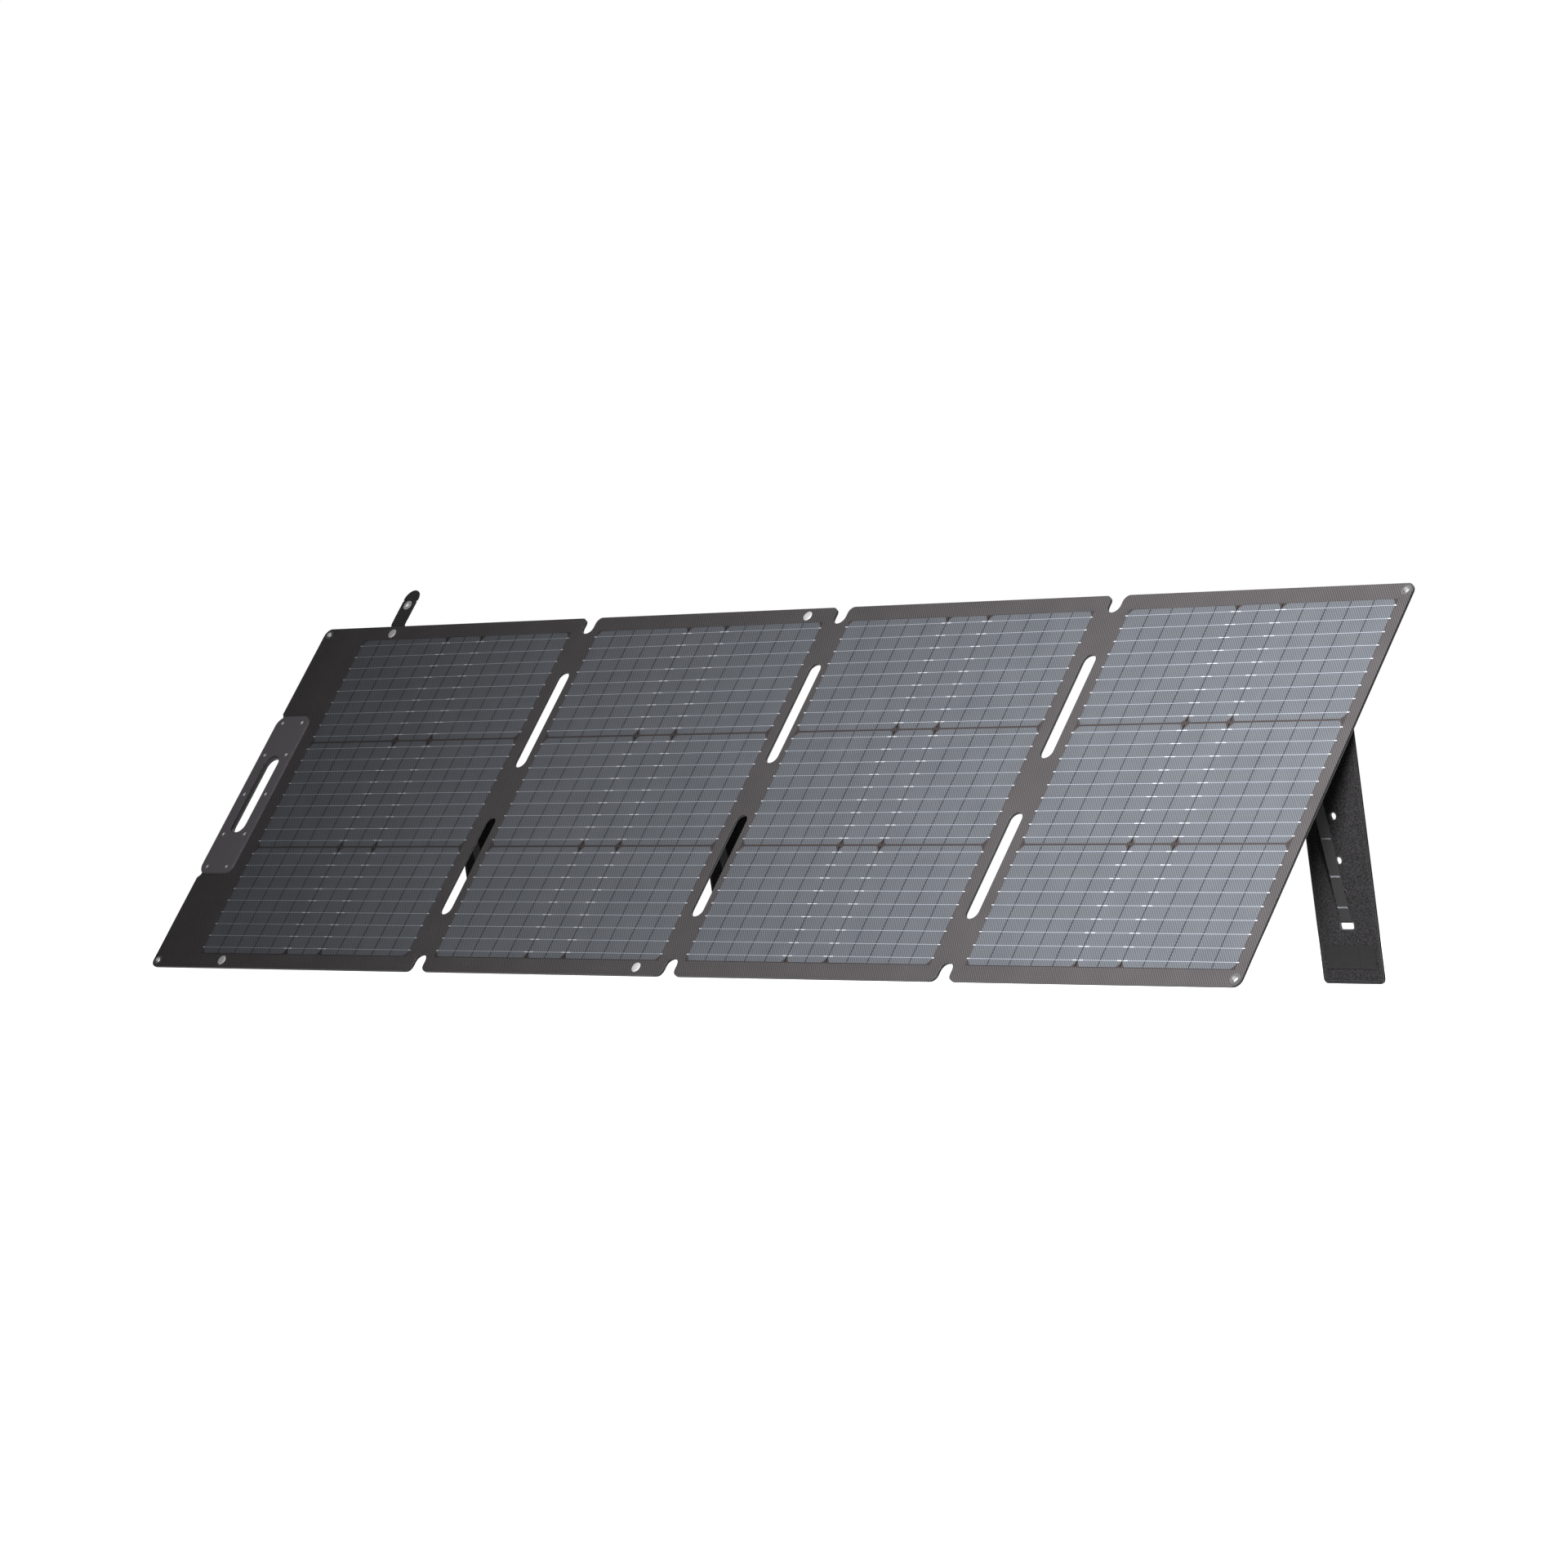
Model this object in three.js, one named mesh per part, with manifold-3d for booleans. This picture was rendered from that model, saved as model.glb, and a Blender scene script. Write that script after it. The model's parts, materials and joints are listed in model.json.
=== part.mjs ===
// A folding portable solar panel: four boards joined by fabric hinges, with fold-out legs behind.
// Units are millimetres. +X runs along the four panels, +Y points behind them and +Z is up.
// The origin is at the middle of the footprint, on the ground.
// Each panel is built in its own plane: x along the panels, v up the slope, n out of the front face.

import * as THREE from "three";
import { mergeVertices } from "three/addons/utils/BufferGeometryUtils.js";
import Module from "manifold-3d";

const wasm = await Module();
wasm.setup();

// ---------- driving dimensions ----------

const TILT = THREE.MathUtils.degToRad(56);
const GAP = 0.3;

const LENGTH = 2084;
const HEIGHT = 598;
const HINGE_12 = 581;
const HINGE_23 = 1084;
const HINGE_34 = 1587;
const CORNER_R = 12;

const BOARD_T = 2.5;
const BACK_T = 1;
const BACK_FACE = -(BOARD_T + GAP + BACK_T);
const EDGE_INSET = 0.3;

const CELL_W = 448.9;
const CELL_H = 550;
const CELL_V = 24;
const CELL_T = 0.5;
const CELL_X = { 1: 99.8, 2: 606.9, 3: 1106.7, 4: 1617.3 };

const WEB_HALF = 22;
const NOTCH_HALF = 11;
const NOTCH_DEPTH = 27.3;
const NOTCH_SHOULDER_R = 10;
const SLOT_LENGTH = 163;
const SLOT_CENTRE = 123.5;

const HANDLE_W = 72.8;
const HANDLE_H = 278.4;
const HANDLE_R = 17;
const HANDLE_FRONT_T = 3.2;
const HANDLE_REAR_T = 3;
const GRIP_W = 31;
const GRIP_H = 134.5;
const GRIP_R = 14;
const COLLAR_WALL = 2;
const HANDLE_RECESS = 5.5;
const SCREW_ROWS = [
  { v: 127, half: 22 },
  { v: 70, half: 24.3 },
  { v: 0, half: 24.3 },
  { v: -70, half: 24.3 },
  { v: -127, half: 22 },
];
const SCREW_R = 1.6;
const SCREW_HEAD_R = 3.2;
const SCREW_HEAD_T = 1.7;

const EYELET_INSET = 10.8;
const EYELET_HOLE_R = 4.75;
const EYELET_SEAT_R = 6.1;
const EYELET_FLANGE_R = 7.6;
const EYELET_FLANGE_T = 0.5;

const SNAP_INSET = 12.5;
const SNAP_CAP_R = 7.5;
const SNAP_CAP_T = 1.6;
const SNAP_SHANK_R = 2.2;
const STRAP_X = 154.5;
const STUD_X = 1019.5;
const STUD_R = 3;
const STUD_REACH = 2.4;

const STRAP_W = 30;
const STRAP_T = 1.6;
const STRAP_TIP_R = 15.5;
const STRAP_NECK = 26;
const STRAP_SHOULDER = 8.5;
const STRAP_NOTCH = 3.4;

const LEG_W = 98;
const LEG_LENGTH = 342;
const LEG_T = 2.5;
const LEG_OFF_BACK = 1;
const LEG_HINGE_V = 405;
const LEG_X = { 1: 383, 2: 886, 4: 1967 };
const LEG_FOOT_R = 7;
const LEG_SLOT_FROM_FOOT = 73.6;
const LEG_SLOT_W = 22;
const LEG_SLOT_H = 9;
const LEG_SLOT_R = 3;
const LEG_HOLES_FROM_FOOT = [115, 156, 212];
const LEG_HOLE_R = 4.5;
const PATCH_W = 79.5;
const PATCH_H = 30;
const PATCH_FROM_FOOT = 19;
const PATCH_T = 0.6;
const TAPE_T = 0.7;
const TAPE_H = 38;

const TETHER_W = 18;
const TETHER_T = 0.9;
const TETHER_V = 352;
const TETHER_SEWN = 30;

const BOX_X = 640;
const BOX_V = 430;
const BOX_W = 92;
const BOX_H = 64;
const BOX_DEPTH = 11;
const BOX_WALL = 2;
const LID_T = 3;
const POUCH_X = 618;
const POUCH_V = 196;
const POUCH_W = 232;
const POUCH_H = 196;
const POUCH_T = 13;
const ZIP_LENGTH = 200;
const ZIP_W = 12;

// ---------- shapes and solids ----------

function roundedRect(x0, v0, x1, v1, r, Kind = THREE.Shape) {
  const s = new Kind();
  s.moveTo(x0 + r, v0);
  s.lineTo(x1 - r, v0);
  s.absarc(x1 - r, v0 + r, r, -Math.PI / 2, 0, false);
  s.lineTo(x1, v1 - r);
  s.absarc(x1 - r, v1 - r, r, 0, Math.PI / 2, false);
  s.lineTo(x0 + r, v1);
  s.absarc(x0 + r, v1 - r, r, Math.PI / 2, Math.PI, false);
  s.lineTo(x0, v0 + r);
  s.absarc(x0 + r, v0 + r, r, Math.PI, 1.5 * Math.PI, false);
  return s;
}

function circle(x, v, r, Kind = THREE.Path) {
  const s = new Kind();
  s.absarc(x, v, r, 0, 2 * Math.PI, false);
  return s;
}

function rectangle(x0, v0, x1, v1, Kind = THREE.Shape) {
  const s = new Kind();
  s.moveTo(x0, v0);
  s.lineTo(x1, v0);
  s.lineTo(x1, v1);
  s.lineTo(x0, v1);
  s.closePath();
  return s;
}

// A flat piece between two depths of the panel's normal.
function plate(shape, back, front, curveSegments = 6) {
  const g = new THREE.ExtrudeGeometry(shape, {
    depth: front - back,
    bevelEnabled: false,
    curveSegments,
  });
  return g.translate(0, 0, back);
}

// A turned piece whose axis is the panel's normal, centred at (x, v); profile points are [radius, n].
function turned(profile, x, v, segments = 14) {
  const points = profile.map(([r, n]) => new THREE.Vector2(r, n));
  return new THREE.LatheGeometry(points, segments).rotateX(Math.PI / 2).translate(x, v, 0);
}

function solid(geometry) {
  const bare = geometry.clone();
  bare.deleteAttribute("normal");
  bare.deleteAttribute("uv");
  const merged = mergeVertices(bare, 1e-4);
  return new wasm.Manifold(
    new wasm.Mesh({
      numProp: 3,
      vertProperties: merged.attributes.position.array,
      triVerts: new Uint32Array(merged.index.array),
    }),
  );
}

function geometryOf(manifold) {
  const m = manifold.getMesh();
  const g = new THREE.BufferGeometry();
  g.setAttribute("position", new THREE.BufferAttribute(m.vertProperties, 3));
  g.setIndex(new THREE.BufferAttribute(m.triVerts, 1));
  g.computeVertexNormals();
  return g;
}

function cut(geometry, cutters) {
  return geometryOf(cutters.reduce((s, c) => s.subtract(solid(c)), solid(geometry)));
}

function join(...pieces) {
  return geometryOf(pieces.map(solid).reduce((a, b) => a.add(b)));
}

// ---------- materials ----------

const finishes = {
  laminate: { color: 0x3a3839, roughness: 0.55, metalness: 0 },
  cells: { color: 0x2c313b, roughness: 0.35, metalness: 0.1 },
  felt: { color: 0x2e2f31, roughness: 0.95, metalness: 0 },
  webbing: { color: 0x242426, roughness: 0.9, metalness: 0 },
  plastic: { color: 0x57545a, roughness: 0.6, metalness: 0 },
  blackPlastic: { color: 0x1c1c1e, roughness: 0.5, metalness: 0 },
  nickel: { color: 0xc9c9cc, roughness: 0.25, metalness: 1 },
};

function add(group, name, finish, geometry) {
  const mesh = new THREE.Mesh(geometry, new THREE.MeshStandardMaterial(finishes[finish]));
  mesh.name = name;
  group.add(mesh);
}

// ---------- the panels ----------

const solarPanel = new THREE.Group();
const plane = new THREE.Group();
plane.rotation.x = TILT;
solarPanel.add(plane);

const boardEnds = {
  1: [0, HINGE_12 - WEB_HALF - GAP],
  2: [HINGE_12 + WEB_HALF + GAP, HINGE_23 - WEB_HALF - GAP],
  3: [HINGE_23 + WEB_HALF + GAP, HINGE_34 - WEB_HALF - GAP],
  4: [HINGE_34 + WEB_HALF + GAP, LENGTH],
};

const HANDLE_X = HANDLE_W / 2;
const HANDLE_V = HEIGHT / 2;
const snapHeights = { top: HEIGHT - SNAP_INSET, bottom: SNAP_INSET };
const eyeletHeights = { top: HEIGHT - EYELET_INSET, bottom: EYELET_INSET };

// Panel 1's board: rounded outer corners, and its edge drawn in where the handle clamps it.
function firstBoardOutline(x1) {
  const s = new THREE.Shape();
  const top = HANDLE_V + HANDLE_H / 2 + HANDLE_RECESS;
  const bottom = HANDLE_V - HANDLE_H / 2 - HANDLE_RECESS;
  s.moveTo(x1, 0);
  s.lineTo(x1, HEIGHT);
  s.lineTo(CORNER_R, HEIGHT);
  s.absarc(CORNER_R, HEIGHT - CORNER_R, CORNER_R, Math.PI / 2, Math.PI, false);
  s.lineTo(0, top);
  s.lineTo(HANDLE_RECESS, top - HANDLE_RECESS);
  s.lineTo(HANDLE_RECESS, bottom + HANDLE_RECESS);
  s.lineTo(0, bottom);
  s.lineTo(0, CORNER_R);
  s.absarc(CORNER_R, CORNER_R, CORNER_R, Math.PI, 1.5 * Math.PI, false);
  return s;
}

function lastBoardOutline(x0) {
  const s = new THREE.Shape();
  const x1 = LENGTH;
  s.moveTo(x0, 0);
  s.lineTo(x1 - CORNER_R, 0);
  s.absarc(x1 - CORNER_R, CORNER_R, CORNER_R, -Math.PI / 2, 0, false);
  s.lineTo(x1, HEIGHT - CORNER_R);
  s.absarc(x1 - CORNER_R, HEIGHT - CORNER_R, CORNER_R, 0, Math.PI / 2, false);
  s.lineTo(x0, HEIGHT);
  return s;
}

// The handle's opening as a hole or a column, grown all round by the given amount.
function gripOutline(grow, Kind) {
  const w = GRIP_W / 2 + grow;
  const h = GRIP_H / 2 + grow;
  const x = HANDLE_X;
  return roundedRect(x - w, HANDLE_V - h, x + w, HANDLE_V + h, GRIP_R + grow, Kind);
}

const screwPlaces = SCREW_ROWS.flatMap(({ v, half }) =>
  [-half, half].map((x) => [HANDLE_X + x, HANDLE_V + v]),
);

function eyeletHoles(x) {
  return Object.values(eyeletHeights).map((v) => circle(x, v, EYELET_SEAT_R));
}

function snapHoles(x) {
  return Object.values(snapHeights).map((v) => circle(x, v, SNAP_SHANK_R + GAP));
}

const eyeletX = { 1: EYELET_INSET, 4: LENGTH - EYELET_INSET };

function boardOutline(number) {
  const [x0, x1] = boardEnds[number];
  if (number === 1) {
    const s = firstBoardOutline(x1);
    s.holes.push(gripOutline(COLLAR_WALL + GAP, THREE.Path));
    s.holes.push(...screwPlaces.map(([x, v]) => circle(x, v, SCREW_R + GAP)));
    s.holes.push(...eyeletHoles(eyeletX[1]), ...snapHoles(STRAP_X));
    return s;
  }
  if (number === 4) {
    const s = lastBoardOutline(x0);
    s.holes.push(...eyeletHoles(eyeletX[4]));
    return s;
  }
  const s = rectangle(x0, 0, x1, HEIGHT);
  if (number === 2) s.holes.push(...snapHoles(STUD_X));
  return s;
}

// The board has a shallow tray in its front for the cells.
function addBoard(number) {
  const x = CELL_X[number];
  const tray = plate(
    rectangle(x - GAP, CELL_V - GAP, x + CELL_W + GAP, CELL_V + CELL_H + GAP),
    -CELL_T - GAP,
    1,
  );
  const board = plate(boardOutline(number), -BOARD_T, 0, 4);
  add(plane, `panel_${number}_board`, "laminate", cut(board, [tray]));
  const cells = plate(rectangle(x, CELL_V, x + CELL_W, CELL_V + CELL_H), -CELL_T, 0);
  add(plane, `panel_${number}_cells`, "cells", cells);
}

// The felt back starts clear of the handle on panel 1.
function addBack(number) {
  const [x0, x1] = boardEnds[number];
  const left = number === 1 ? EDGE_INSET : x0;
  const right = number === 4 ? x1 - EDGE_INSET : x1;
  const s = rectangle(left, EDGE_INSET, right, HEIGHT - EDGE_INSET);
  if (number === 1) s.holes.push(...snapHoles(STRAP_X));
  if (number === 2) s.holes.push(...snapHoles(STUD_X));
  const cover = plate(s, BACK_FACE, BACK_FACE + BACK_T, 4);
  const cutters = [];
  if (number === 1) {
    const half = HANDLE_H / 2 + GAP;
    cutters.push(
      plate(
        rectangle(-1, HANDLE_V - half, HANDLE_W + GAP, HANDLE_V + half),
        BACK_FACE - 1,
        BACK_FACE + BACK_T + 1,
      ),
    );
  }
  if (number === 1 || number === 4) {
    const x = number === 1 ? left : right;
    cutters.push(...cornerCutters(x, number === 1 ? 1 : -1));
    for (const v of Object.values(eyeletHeights)) {
      const hole = circle(eyeletX[number], v, EYELET_SEAT_R, THREE.Shape);
      cutters.push(plate(hole, BACK_FACE - 1, BACK_FACE + BACK_T + 1, 6));
    }
  }
  add(plane, `panel_${number}_back`, "felt", cutters.length ? cut(cover, cutters) : cover);
}

// What is left outside the rounded corners at one end; side is 1 at the left end and -1 at the right.
function cornerCutters(x, side) {
  return [-1, 1].map((up) => {
    const edge = up > 0 ? HEIGHT - EDGE_INSET : EDGE_INSET;
    const corner = new THREE.Shape();
    const steps = 4;
    corner.moveTo(x - side, edge + up);
    corner.lineTo(x + side * CORNER_R, edge + up);
    for (let i = 0; i <= steps; i++) {
      const a = (i / steps) * (Math.PI / 2);
      corner.lineTo(
        x + side * CORNER_R * (1 - Math.sin(a)),
        edge - up * CORNER_R * (1 - Math.cos(a)),
      );
    }
    corner.lineTo(x - side, edge - up * CORNER_R);
    return plate(corner, BACK_FACE - 1, BACK_FACE + BACK_T + 1);
  });
}

for (const number of [1, 2, 3, 4]) {
  addBoard(number);
  addBack(number);
}

// ---------- fabric hinges ----------

// A strip with a rounded notch at each end and two long slots along the fold.
function webOutline(x) {
  const s = new THREE.Shape();
  const low = EDGE_INSET + 0.4;
  const shoulder = NOTCH_HALF + NOTCH_SHOULDER_R;
  const r = NOTCH_SHOULDER_R;
  const deep = NOTCH_DEPTH - NOTCH_HALF;
  s.moveTo(x - WEB_HALF, low);
  s.lineTo(x - shoulder, low);
  s.absarc(x - shoulder, low + r, r, -Math.PI / 2, 0, false);
  s.absarc(x, low + deep, NOTCH_HALF, Math.PI, 0, true);
  s.absarc(x + shoulder, low + r, r, Math.PI, 1.5 * Math.PI, false);
  s.lineTo(x + WEB_HALF, low);
  s.lineTo(x + WEB_HALF, HEIGHT);
  s.lineTo(x + shoulder, HEIGHT);
  s.absarc(x + shoulder, HEIGHT - r, r, Math.PI / 2, Math.PI, false);
  s.absarc(x, HEIGHT - deep, NOTCH_HALF, 0, -Math.PI, true);
  s.absarc(x - shoulder, HEIGHT - r, r, 0, Math.PI / 2, false);
  s.lineTo(x - WEB_HALF, HEIGHT);
  for (const side of [-1, 1]) {
    const v = HEIGHT / 2 + side * SLOT_CENTRE;
    const half = SLOT_LENGTH / 2;
    const end = NOTCH_HALF;
    s.holes.push(roundedRect(x - end, v - half, x + end, v + half, end - 0.01, THREE.Path));
  }
  return s;
}

for (const [name, x] of [["12", HINGE_12], ["23", HINGE_23], ["34", HINGE_34]]) {
  add(plane, `hinge_web_${name}`, "laminate", plate(webOutline(x), BACK_FACE, 0, 5));
}

// ---------- handle ----------

function addHandle() {
  const x0 = 0;
  const v0 = HANDLE_V - HANDLE_H / 2;
  const outline = (inset) =>
    roundedRect(
      x0 + inset,
      v0 + inset,
      HANDLE_W - inset,
      HANDLE_V + HANDLE_H / 2 - inset,
      HANDLE_R - inset,
    );
  const bevel = 1.2;
  const low = outline(0);
  const high = outline(bevel);
  low.holes.push(gripOutline(0, THREE.Path));
  high.holes.push(gripOutline(bevel / 2, THREE.Path));
  const step = GAP + (HANDLE_FRONT_T - GAP) * 0.65;
  const front = join(plate(low, GAP, step, 5), plate(high, step - 0.01, HANDLE_FRONT_T, 5));
  const sinks = screwPlaces.map(([x, v]) =>
    turned(
      [
        [0, GAP - 1],
        [SCREW_R + GAP, GAP - 1],
        [SCREW_R + GAP, HANDLE_FRONT_T - SCREW_HEAD_T - 0.6],
        [SCREW_HEAD_R + GAP, HANDLE_FRONT_T - SCREW_HEAD_T - 0.6],
        [SCREW_HEAD_R + GAP, HANDLE_FRONT_T + 1],
        [0, HANDLE_FRONT_T + 1],
      ],
      x,
      v,
      10,
    ),
  );
  add(plane, "handle_front_plate", "plastic", cut(front, sinks));

  const rearFace = -BOARD_T - GAP;
  const rear = outline(0);
  rear.holes.push(gripOutline(0, THREE.Path));
  const collar = gripOutline(COLLAR_WALL, THREE.Shape);
  collar.holes.push(gripOutline(0, THREE.Path));
  const rearPlate = join(
    plate(rear, rearFace - HANDLE_REAR_T, rearFace, 5),
    plate(collar, rearFace - 0.1, 0, 5),
  );
  const pilots = screwPlaces.map(([x, v]) =>
    turned(
      [
        [0, rearFace - HANDLE_REAR_T - 1],
        [SCREW_R + GAP, rearFace - HANDLE_REAR_T - 1],
        [SCREW_R + GAP, rearFace + 1],
        [0, rearFace + 1],
      ],
      x,
      v,
      10,
    ),
  );
  add(plane, "handle_rear_plate", "plastic", cut(rearPlate, pilots));
}

// Ten screws clamp the two plates through the board.
function addHandleScrews() {
  const top = HANDLE_FRONT_T - 0.4;
  const tip = -BOARD_T - GAP - HANDLE_REAR_T + 0.4;
  const drive = 0.8;
  screwPlaces.forEach(([x, v], i) => {
    const profile = [
      [0, tip],
      [SCREW_R, tip],
      [SCREW_R, top - SCREW_HEAD_T],
      [SCREW_HEAD_R, top - SCREW_HEAD_T + 0.3],
      [SCREW_HEAD_R, top - 0.4],
      [SCREW_HEAD_R * 0.75, top],
      [SCREW_R * 0.8, top],
      [SCREW_R * 0.8, top - drive],
      [0, top - drive],
    ];
    add(plane, `handle_screw_${i + 1}`, "nickel", turned(profile, x, v, 10));
  });
}

addHandle();
addHandleScrews();

// ---------- corner eyelets, rivets and studs ----------

function addEyelet(name, x, v) {
  const wall = EYELET_HOLE_R + 0.6;
  const front = EYELET_FLANGE_T + 0.1;
  const back = BACK_FACE - EYELET_FLANGE_T - 0.1;
  const profile = [
    [EYELET_HOLE_R, back],
    [EYELET_FLANGE_R, back],
    [EYELET_FLANGE_R, BACK_FACE - 0.1],
    [wall, BACK_FACE - 0.1],
    [wall, 0.1],
    [EYELET_FLANGE_R, 0.1],
    [EYELET_FLANGE_R, front],
    [EYELET_HOLE_R, front],
    [EYELET_HOLE_R, back],
  ];
  add(plane, name, "nickel", turned(profile, x, v, 18));
}

for (const [end, v] of Object.entries(eyeletHeights)) {
  addEyelet(`corner_eyelet_left_${end}`, eyeletX[1], v);
  addEyelet(`corner_eyelet_right_${end}`, eyeletX[4], v);
}

// A domed cap in front, a shank through the panel, and a washer or a snap stud behind.
function fastenerProfile(hasStud) {
  const back = BACK_FACE - 0.15;
  const flange = BACK_FACE - 0.6;
  const tail = hasStud
    ? [
        [0, BACK_FACE - STUD_REACH],
        [STUD_R - 0.5, BACK_FACE - STUD_REACH],
        [STUD_R, BACK_FACE - STUD_REACH + 0.5],
        [STUD_R - 0.4, flange],
      ]
    : [[0, flange]];
  return [
    ...tail,
    [6.5, flange],
    [6.5, back],
    [SNAP_SHANK_R, back],
    [SNAP_SHANK_R, 0.15],
    [SNAP_CAP_R, 0.15],
    [SNAP_CAP_R * 0.97, 0.5],
    [SNAP_CAP_R * 0.8, SNAP_CAP_T * 0.7],
    [SNAP_CAP_R * 0.4, SNAP_CAP_T * 0.95],
    [0, SNAP_CAP_T],
  ];
}

for (const [end, v] of Object.entries(snapHeights)) {
  add(plane, `strap_rivet_${end}`, "nickel", turned(fastenerProfile(false), STRAP_X, v));
  add(plane, `snap_stud_${end}`, "nickel", turned(fastenerProfile(true), STUD_X, v));
}

// ---------- closure straps ----------

// Built lying along +v from the base hinge, with the face that meets the stud towards +n.
// rise is how far the webbing's middle stands off the hinge line, start is where it begins, base is
// the second fold and socket is how far past that fold the snap sits.
function closureStrap(end, { rise, start, base, socket }) {
  const strap = new THREE.Group();
  const mid = -rise;
  const back = mid - STRAP_T / 2;
  const front = mid + STRAP_T / 2;
  const w = STRAP_W / 2;
  const baseEnd = base - STRAP_T / 2 - 0.1;
  add(
    strap,
    `closure_strap_${end}_base`,
    "webbing",
    plate(rectangle(-w, start, w, baseEnd), back, front),
  );

  const tipStart = base + GAP;
  const socketAt = base + socket;
  const neckAt = socketAt + STRAP_SHOULDER;
  const roundAt = neckAt + STRAP_NOTCH;
  const neck = STRAP_NECK / 2;
  const s = new THREE.Shape();
  const meet = Math.PI / 18;
  s.moveTo(-w, tipStart);
  s.lineTo(w, tipStart);
  s.lineTo(w, neckAt - 2);
  s.lineTo(neck, neckAt);
  s.absarc(0, roundAt, STRAP_TIP_R, -meet, Math.PI + meet, false);
  s.lineTo(-w, neckAt - 2);
  s.holes.push(circle(0, socketAt, 4.2 + GAP));
  add(strap, `closure_strap_${end}_tip`, "webbing", plate(s, back, front, 10));

  const bore = STUD_R + 0.4;
  const profile = [
    [0, back - 1.4],
    [4, back - 1.3],
    [7, back - 0.6],
    [7, back - 0.15],
    [4.2, back - 0.15],
    [4.2, front + 0.15],
    [8, front + 0.15],
    [8, front + 0.5],
    [7.2, front + 0.8],
    [bore, front + 0.8],
    [bore, front - 1.2],
    [0, front - 1.2],
  ];
  add(strap, `snap_socket_${end}`, "nickel", turned(profile, 0, socketAt));
  return strap;
}

const topStrap = closureStrap("top", { rise: 0, start: 0.5, base: 23.8, socket: 13.9 });
topStrap.position.set(STRAP_X, HEIGHT + 1.4, BACK_FACE / 2);
plane.add(topStrap);

// The lower strap lies back along the ground, its socket face down.
const lowerStrap = closureStrap("bottom", { rise: 2.1, start: 3.3, base: 24.9, socket: 15.1 });
lowerStrap.position.set(STRAP_X, -0.5, -3);
lowerStrap.rotation.set(-TILT, Math.PI, 0);
plane.add(lowerStrap);

// ---------- legs ----------

// The foot's lowest edge meets the ground when the tether is taut, which sets how far the leg opens.
const groundToHinge =
  LEG_HINGE_V * Math.sin(TILT) + BACK_FACE * Math.cos(TILT) + groundOffset();
const legReach = Math.hypot(LEG_LENGTH, LEG_OFF_BACK);
const LEG_LEAN = Math.acos(groundToHinge / legReach) - Math.atan(LEG_OFF_BACK / LEG_LENGTH);
const LEG_SPREAD = Math.PI / 2 - TILT + LEG_LEAN;

// How far the front face's lower edge stands above the ground: the felt back's lower edge touches.
function groundOffset() {
  return -BACK_FACE * Math.cos(TILT) - EDGE_INSET * Math.sin(TILT);
}

function legPlate() {
  const w = LEG_W / 2;
  const s = new THREE.Shape();
  const foot = -LEG_LENGTH;
  const r = LEG_FOOT_R;
  s.moveTo(-w + r, foot);
  s.lineTo(w - r, foot);
  s.absarc(w - r, foot + r, r, -Math.PI / 2, 0, false);
  s.lineTo(w, -0.5);
  s.lineTo(-w, -0.5);
  s.lineTo(-w, foot + r);
  s.absarc(-w + r, foot + r, r, Math.PI, 1.5 * Math.PI, false);
  const slotV = foot + LEG_SLOT_FROM_FOOT;
  const half = LEG_SLOT_H / 2;
  s.holes.push(
    roundedRect(
      -LEG_SLOT_W / 2,
      slotV - half,
      LEG_SLOT_W / 2,
      slotV + half,
      LEG_SLOT_R,
      THREE.Path,
    ),
  );
  for (const up of LEG_HOLES_FROM_FOOT) s.holes.push(circle(0, foot + up, LEG_HOLE_R));
  return plate(s, -LEG_OFF_BACK - LEG_T, -LEG_OFF_BACK, 4);
}

function hookPatch() {
  const low = -LEG_LENGTH + PATCH_FROM_FOOT;
  const shape = roundedRect(-PATCH_W / 2, low, PATCH_W / 2, low + PATCH_H, 2);
  const face = -LEG_OFF_BACK + 0.1;
  return plate(shape, face, face + PATCH_T, 2);
}

// The webbing's path in the panel's v, n plane: sewn flat, straight down to the leg, through its slot
// and up behind it.
function tetherPath() {
  const toPanel = (y, z) => {
    const c = Math.cos(LEG_SPREAD);
    const s = Math.sin(LEG_SPREAD);
    return [LEG_HINGE_V + y * c - z * s, BACK_FACE + y * s + z * c];
  };
  const slotTop = -LEG_LENGTH + LEG_SLOT_FROM_FOOT + LEG_SLOT_H / 2;
  const through = slotTop - TETHER_T / 2 - GAP;
  const inFront = -LEG_OFF_BACK + TETHER_T / 2 + GAP;
  const behind = -LEG_OFF_BACK - LEG_T - TETHER_T / 2 - GAP;
  const sewn = BACK_FACE - TETHER_T / 2 - GAP;
  return [
    [TETHER_V + TETHER_SEWN, sewn],
    [TETHER_V, sewn],
    toPanel(slotTop + 3, inFront),
    toPanel(through, inFront),
    toPanel(through, behind),
    toPanel(-LEG_LENGTH + LEG_HOLES_FROM_FOOT[0] + 8, behind),
  ];
}

// A ribbon of even thickness along a path, with mitred corners, as an outline in the v, n plane.
function ribbonOutline(path, thickness) {
  const side = (sign) =>
    path.map(([v, n], i) => {
      const before = path[Math.max(i - 1, 0)];
      const after = path[Math.min(i + 1, path.length - 1)];
      const a = Math.atan2(n - before[1], v - before[0]);
      const b = Math.atan2(after[1] - n, after[0] - v);
      const first = i === 0 ? b : a;
      const last = i === path.length - 1 ? a : b;
      const half = Math.atan2(Math.sin(last - first), Math.cos(last - first)) / 2;
      const reach = ((sign * thickness) / 2) / Math.cos(half);
      const normal = first + half + Math.PI / 2;
      return new THREE.Vector2(v + reach * Math.cos(normal), n + reach * Math.sin(normal));
    });
  return new THREE.Shape([...side(1), ...side(-1).reverse()]);
}

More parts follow.
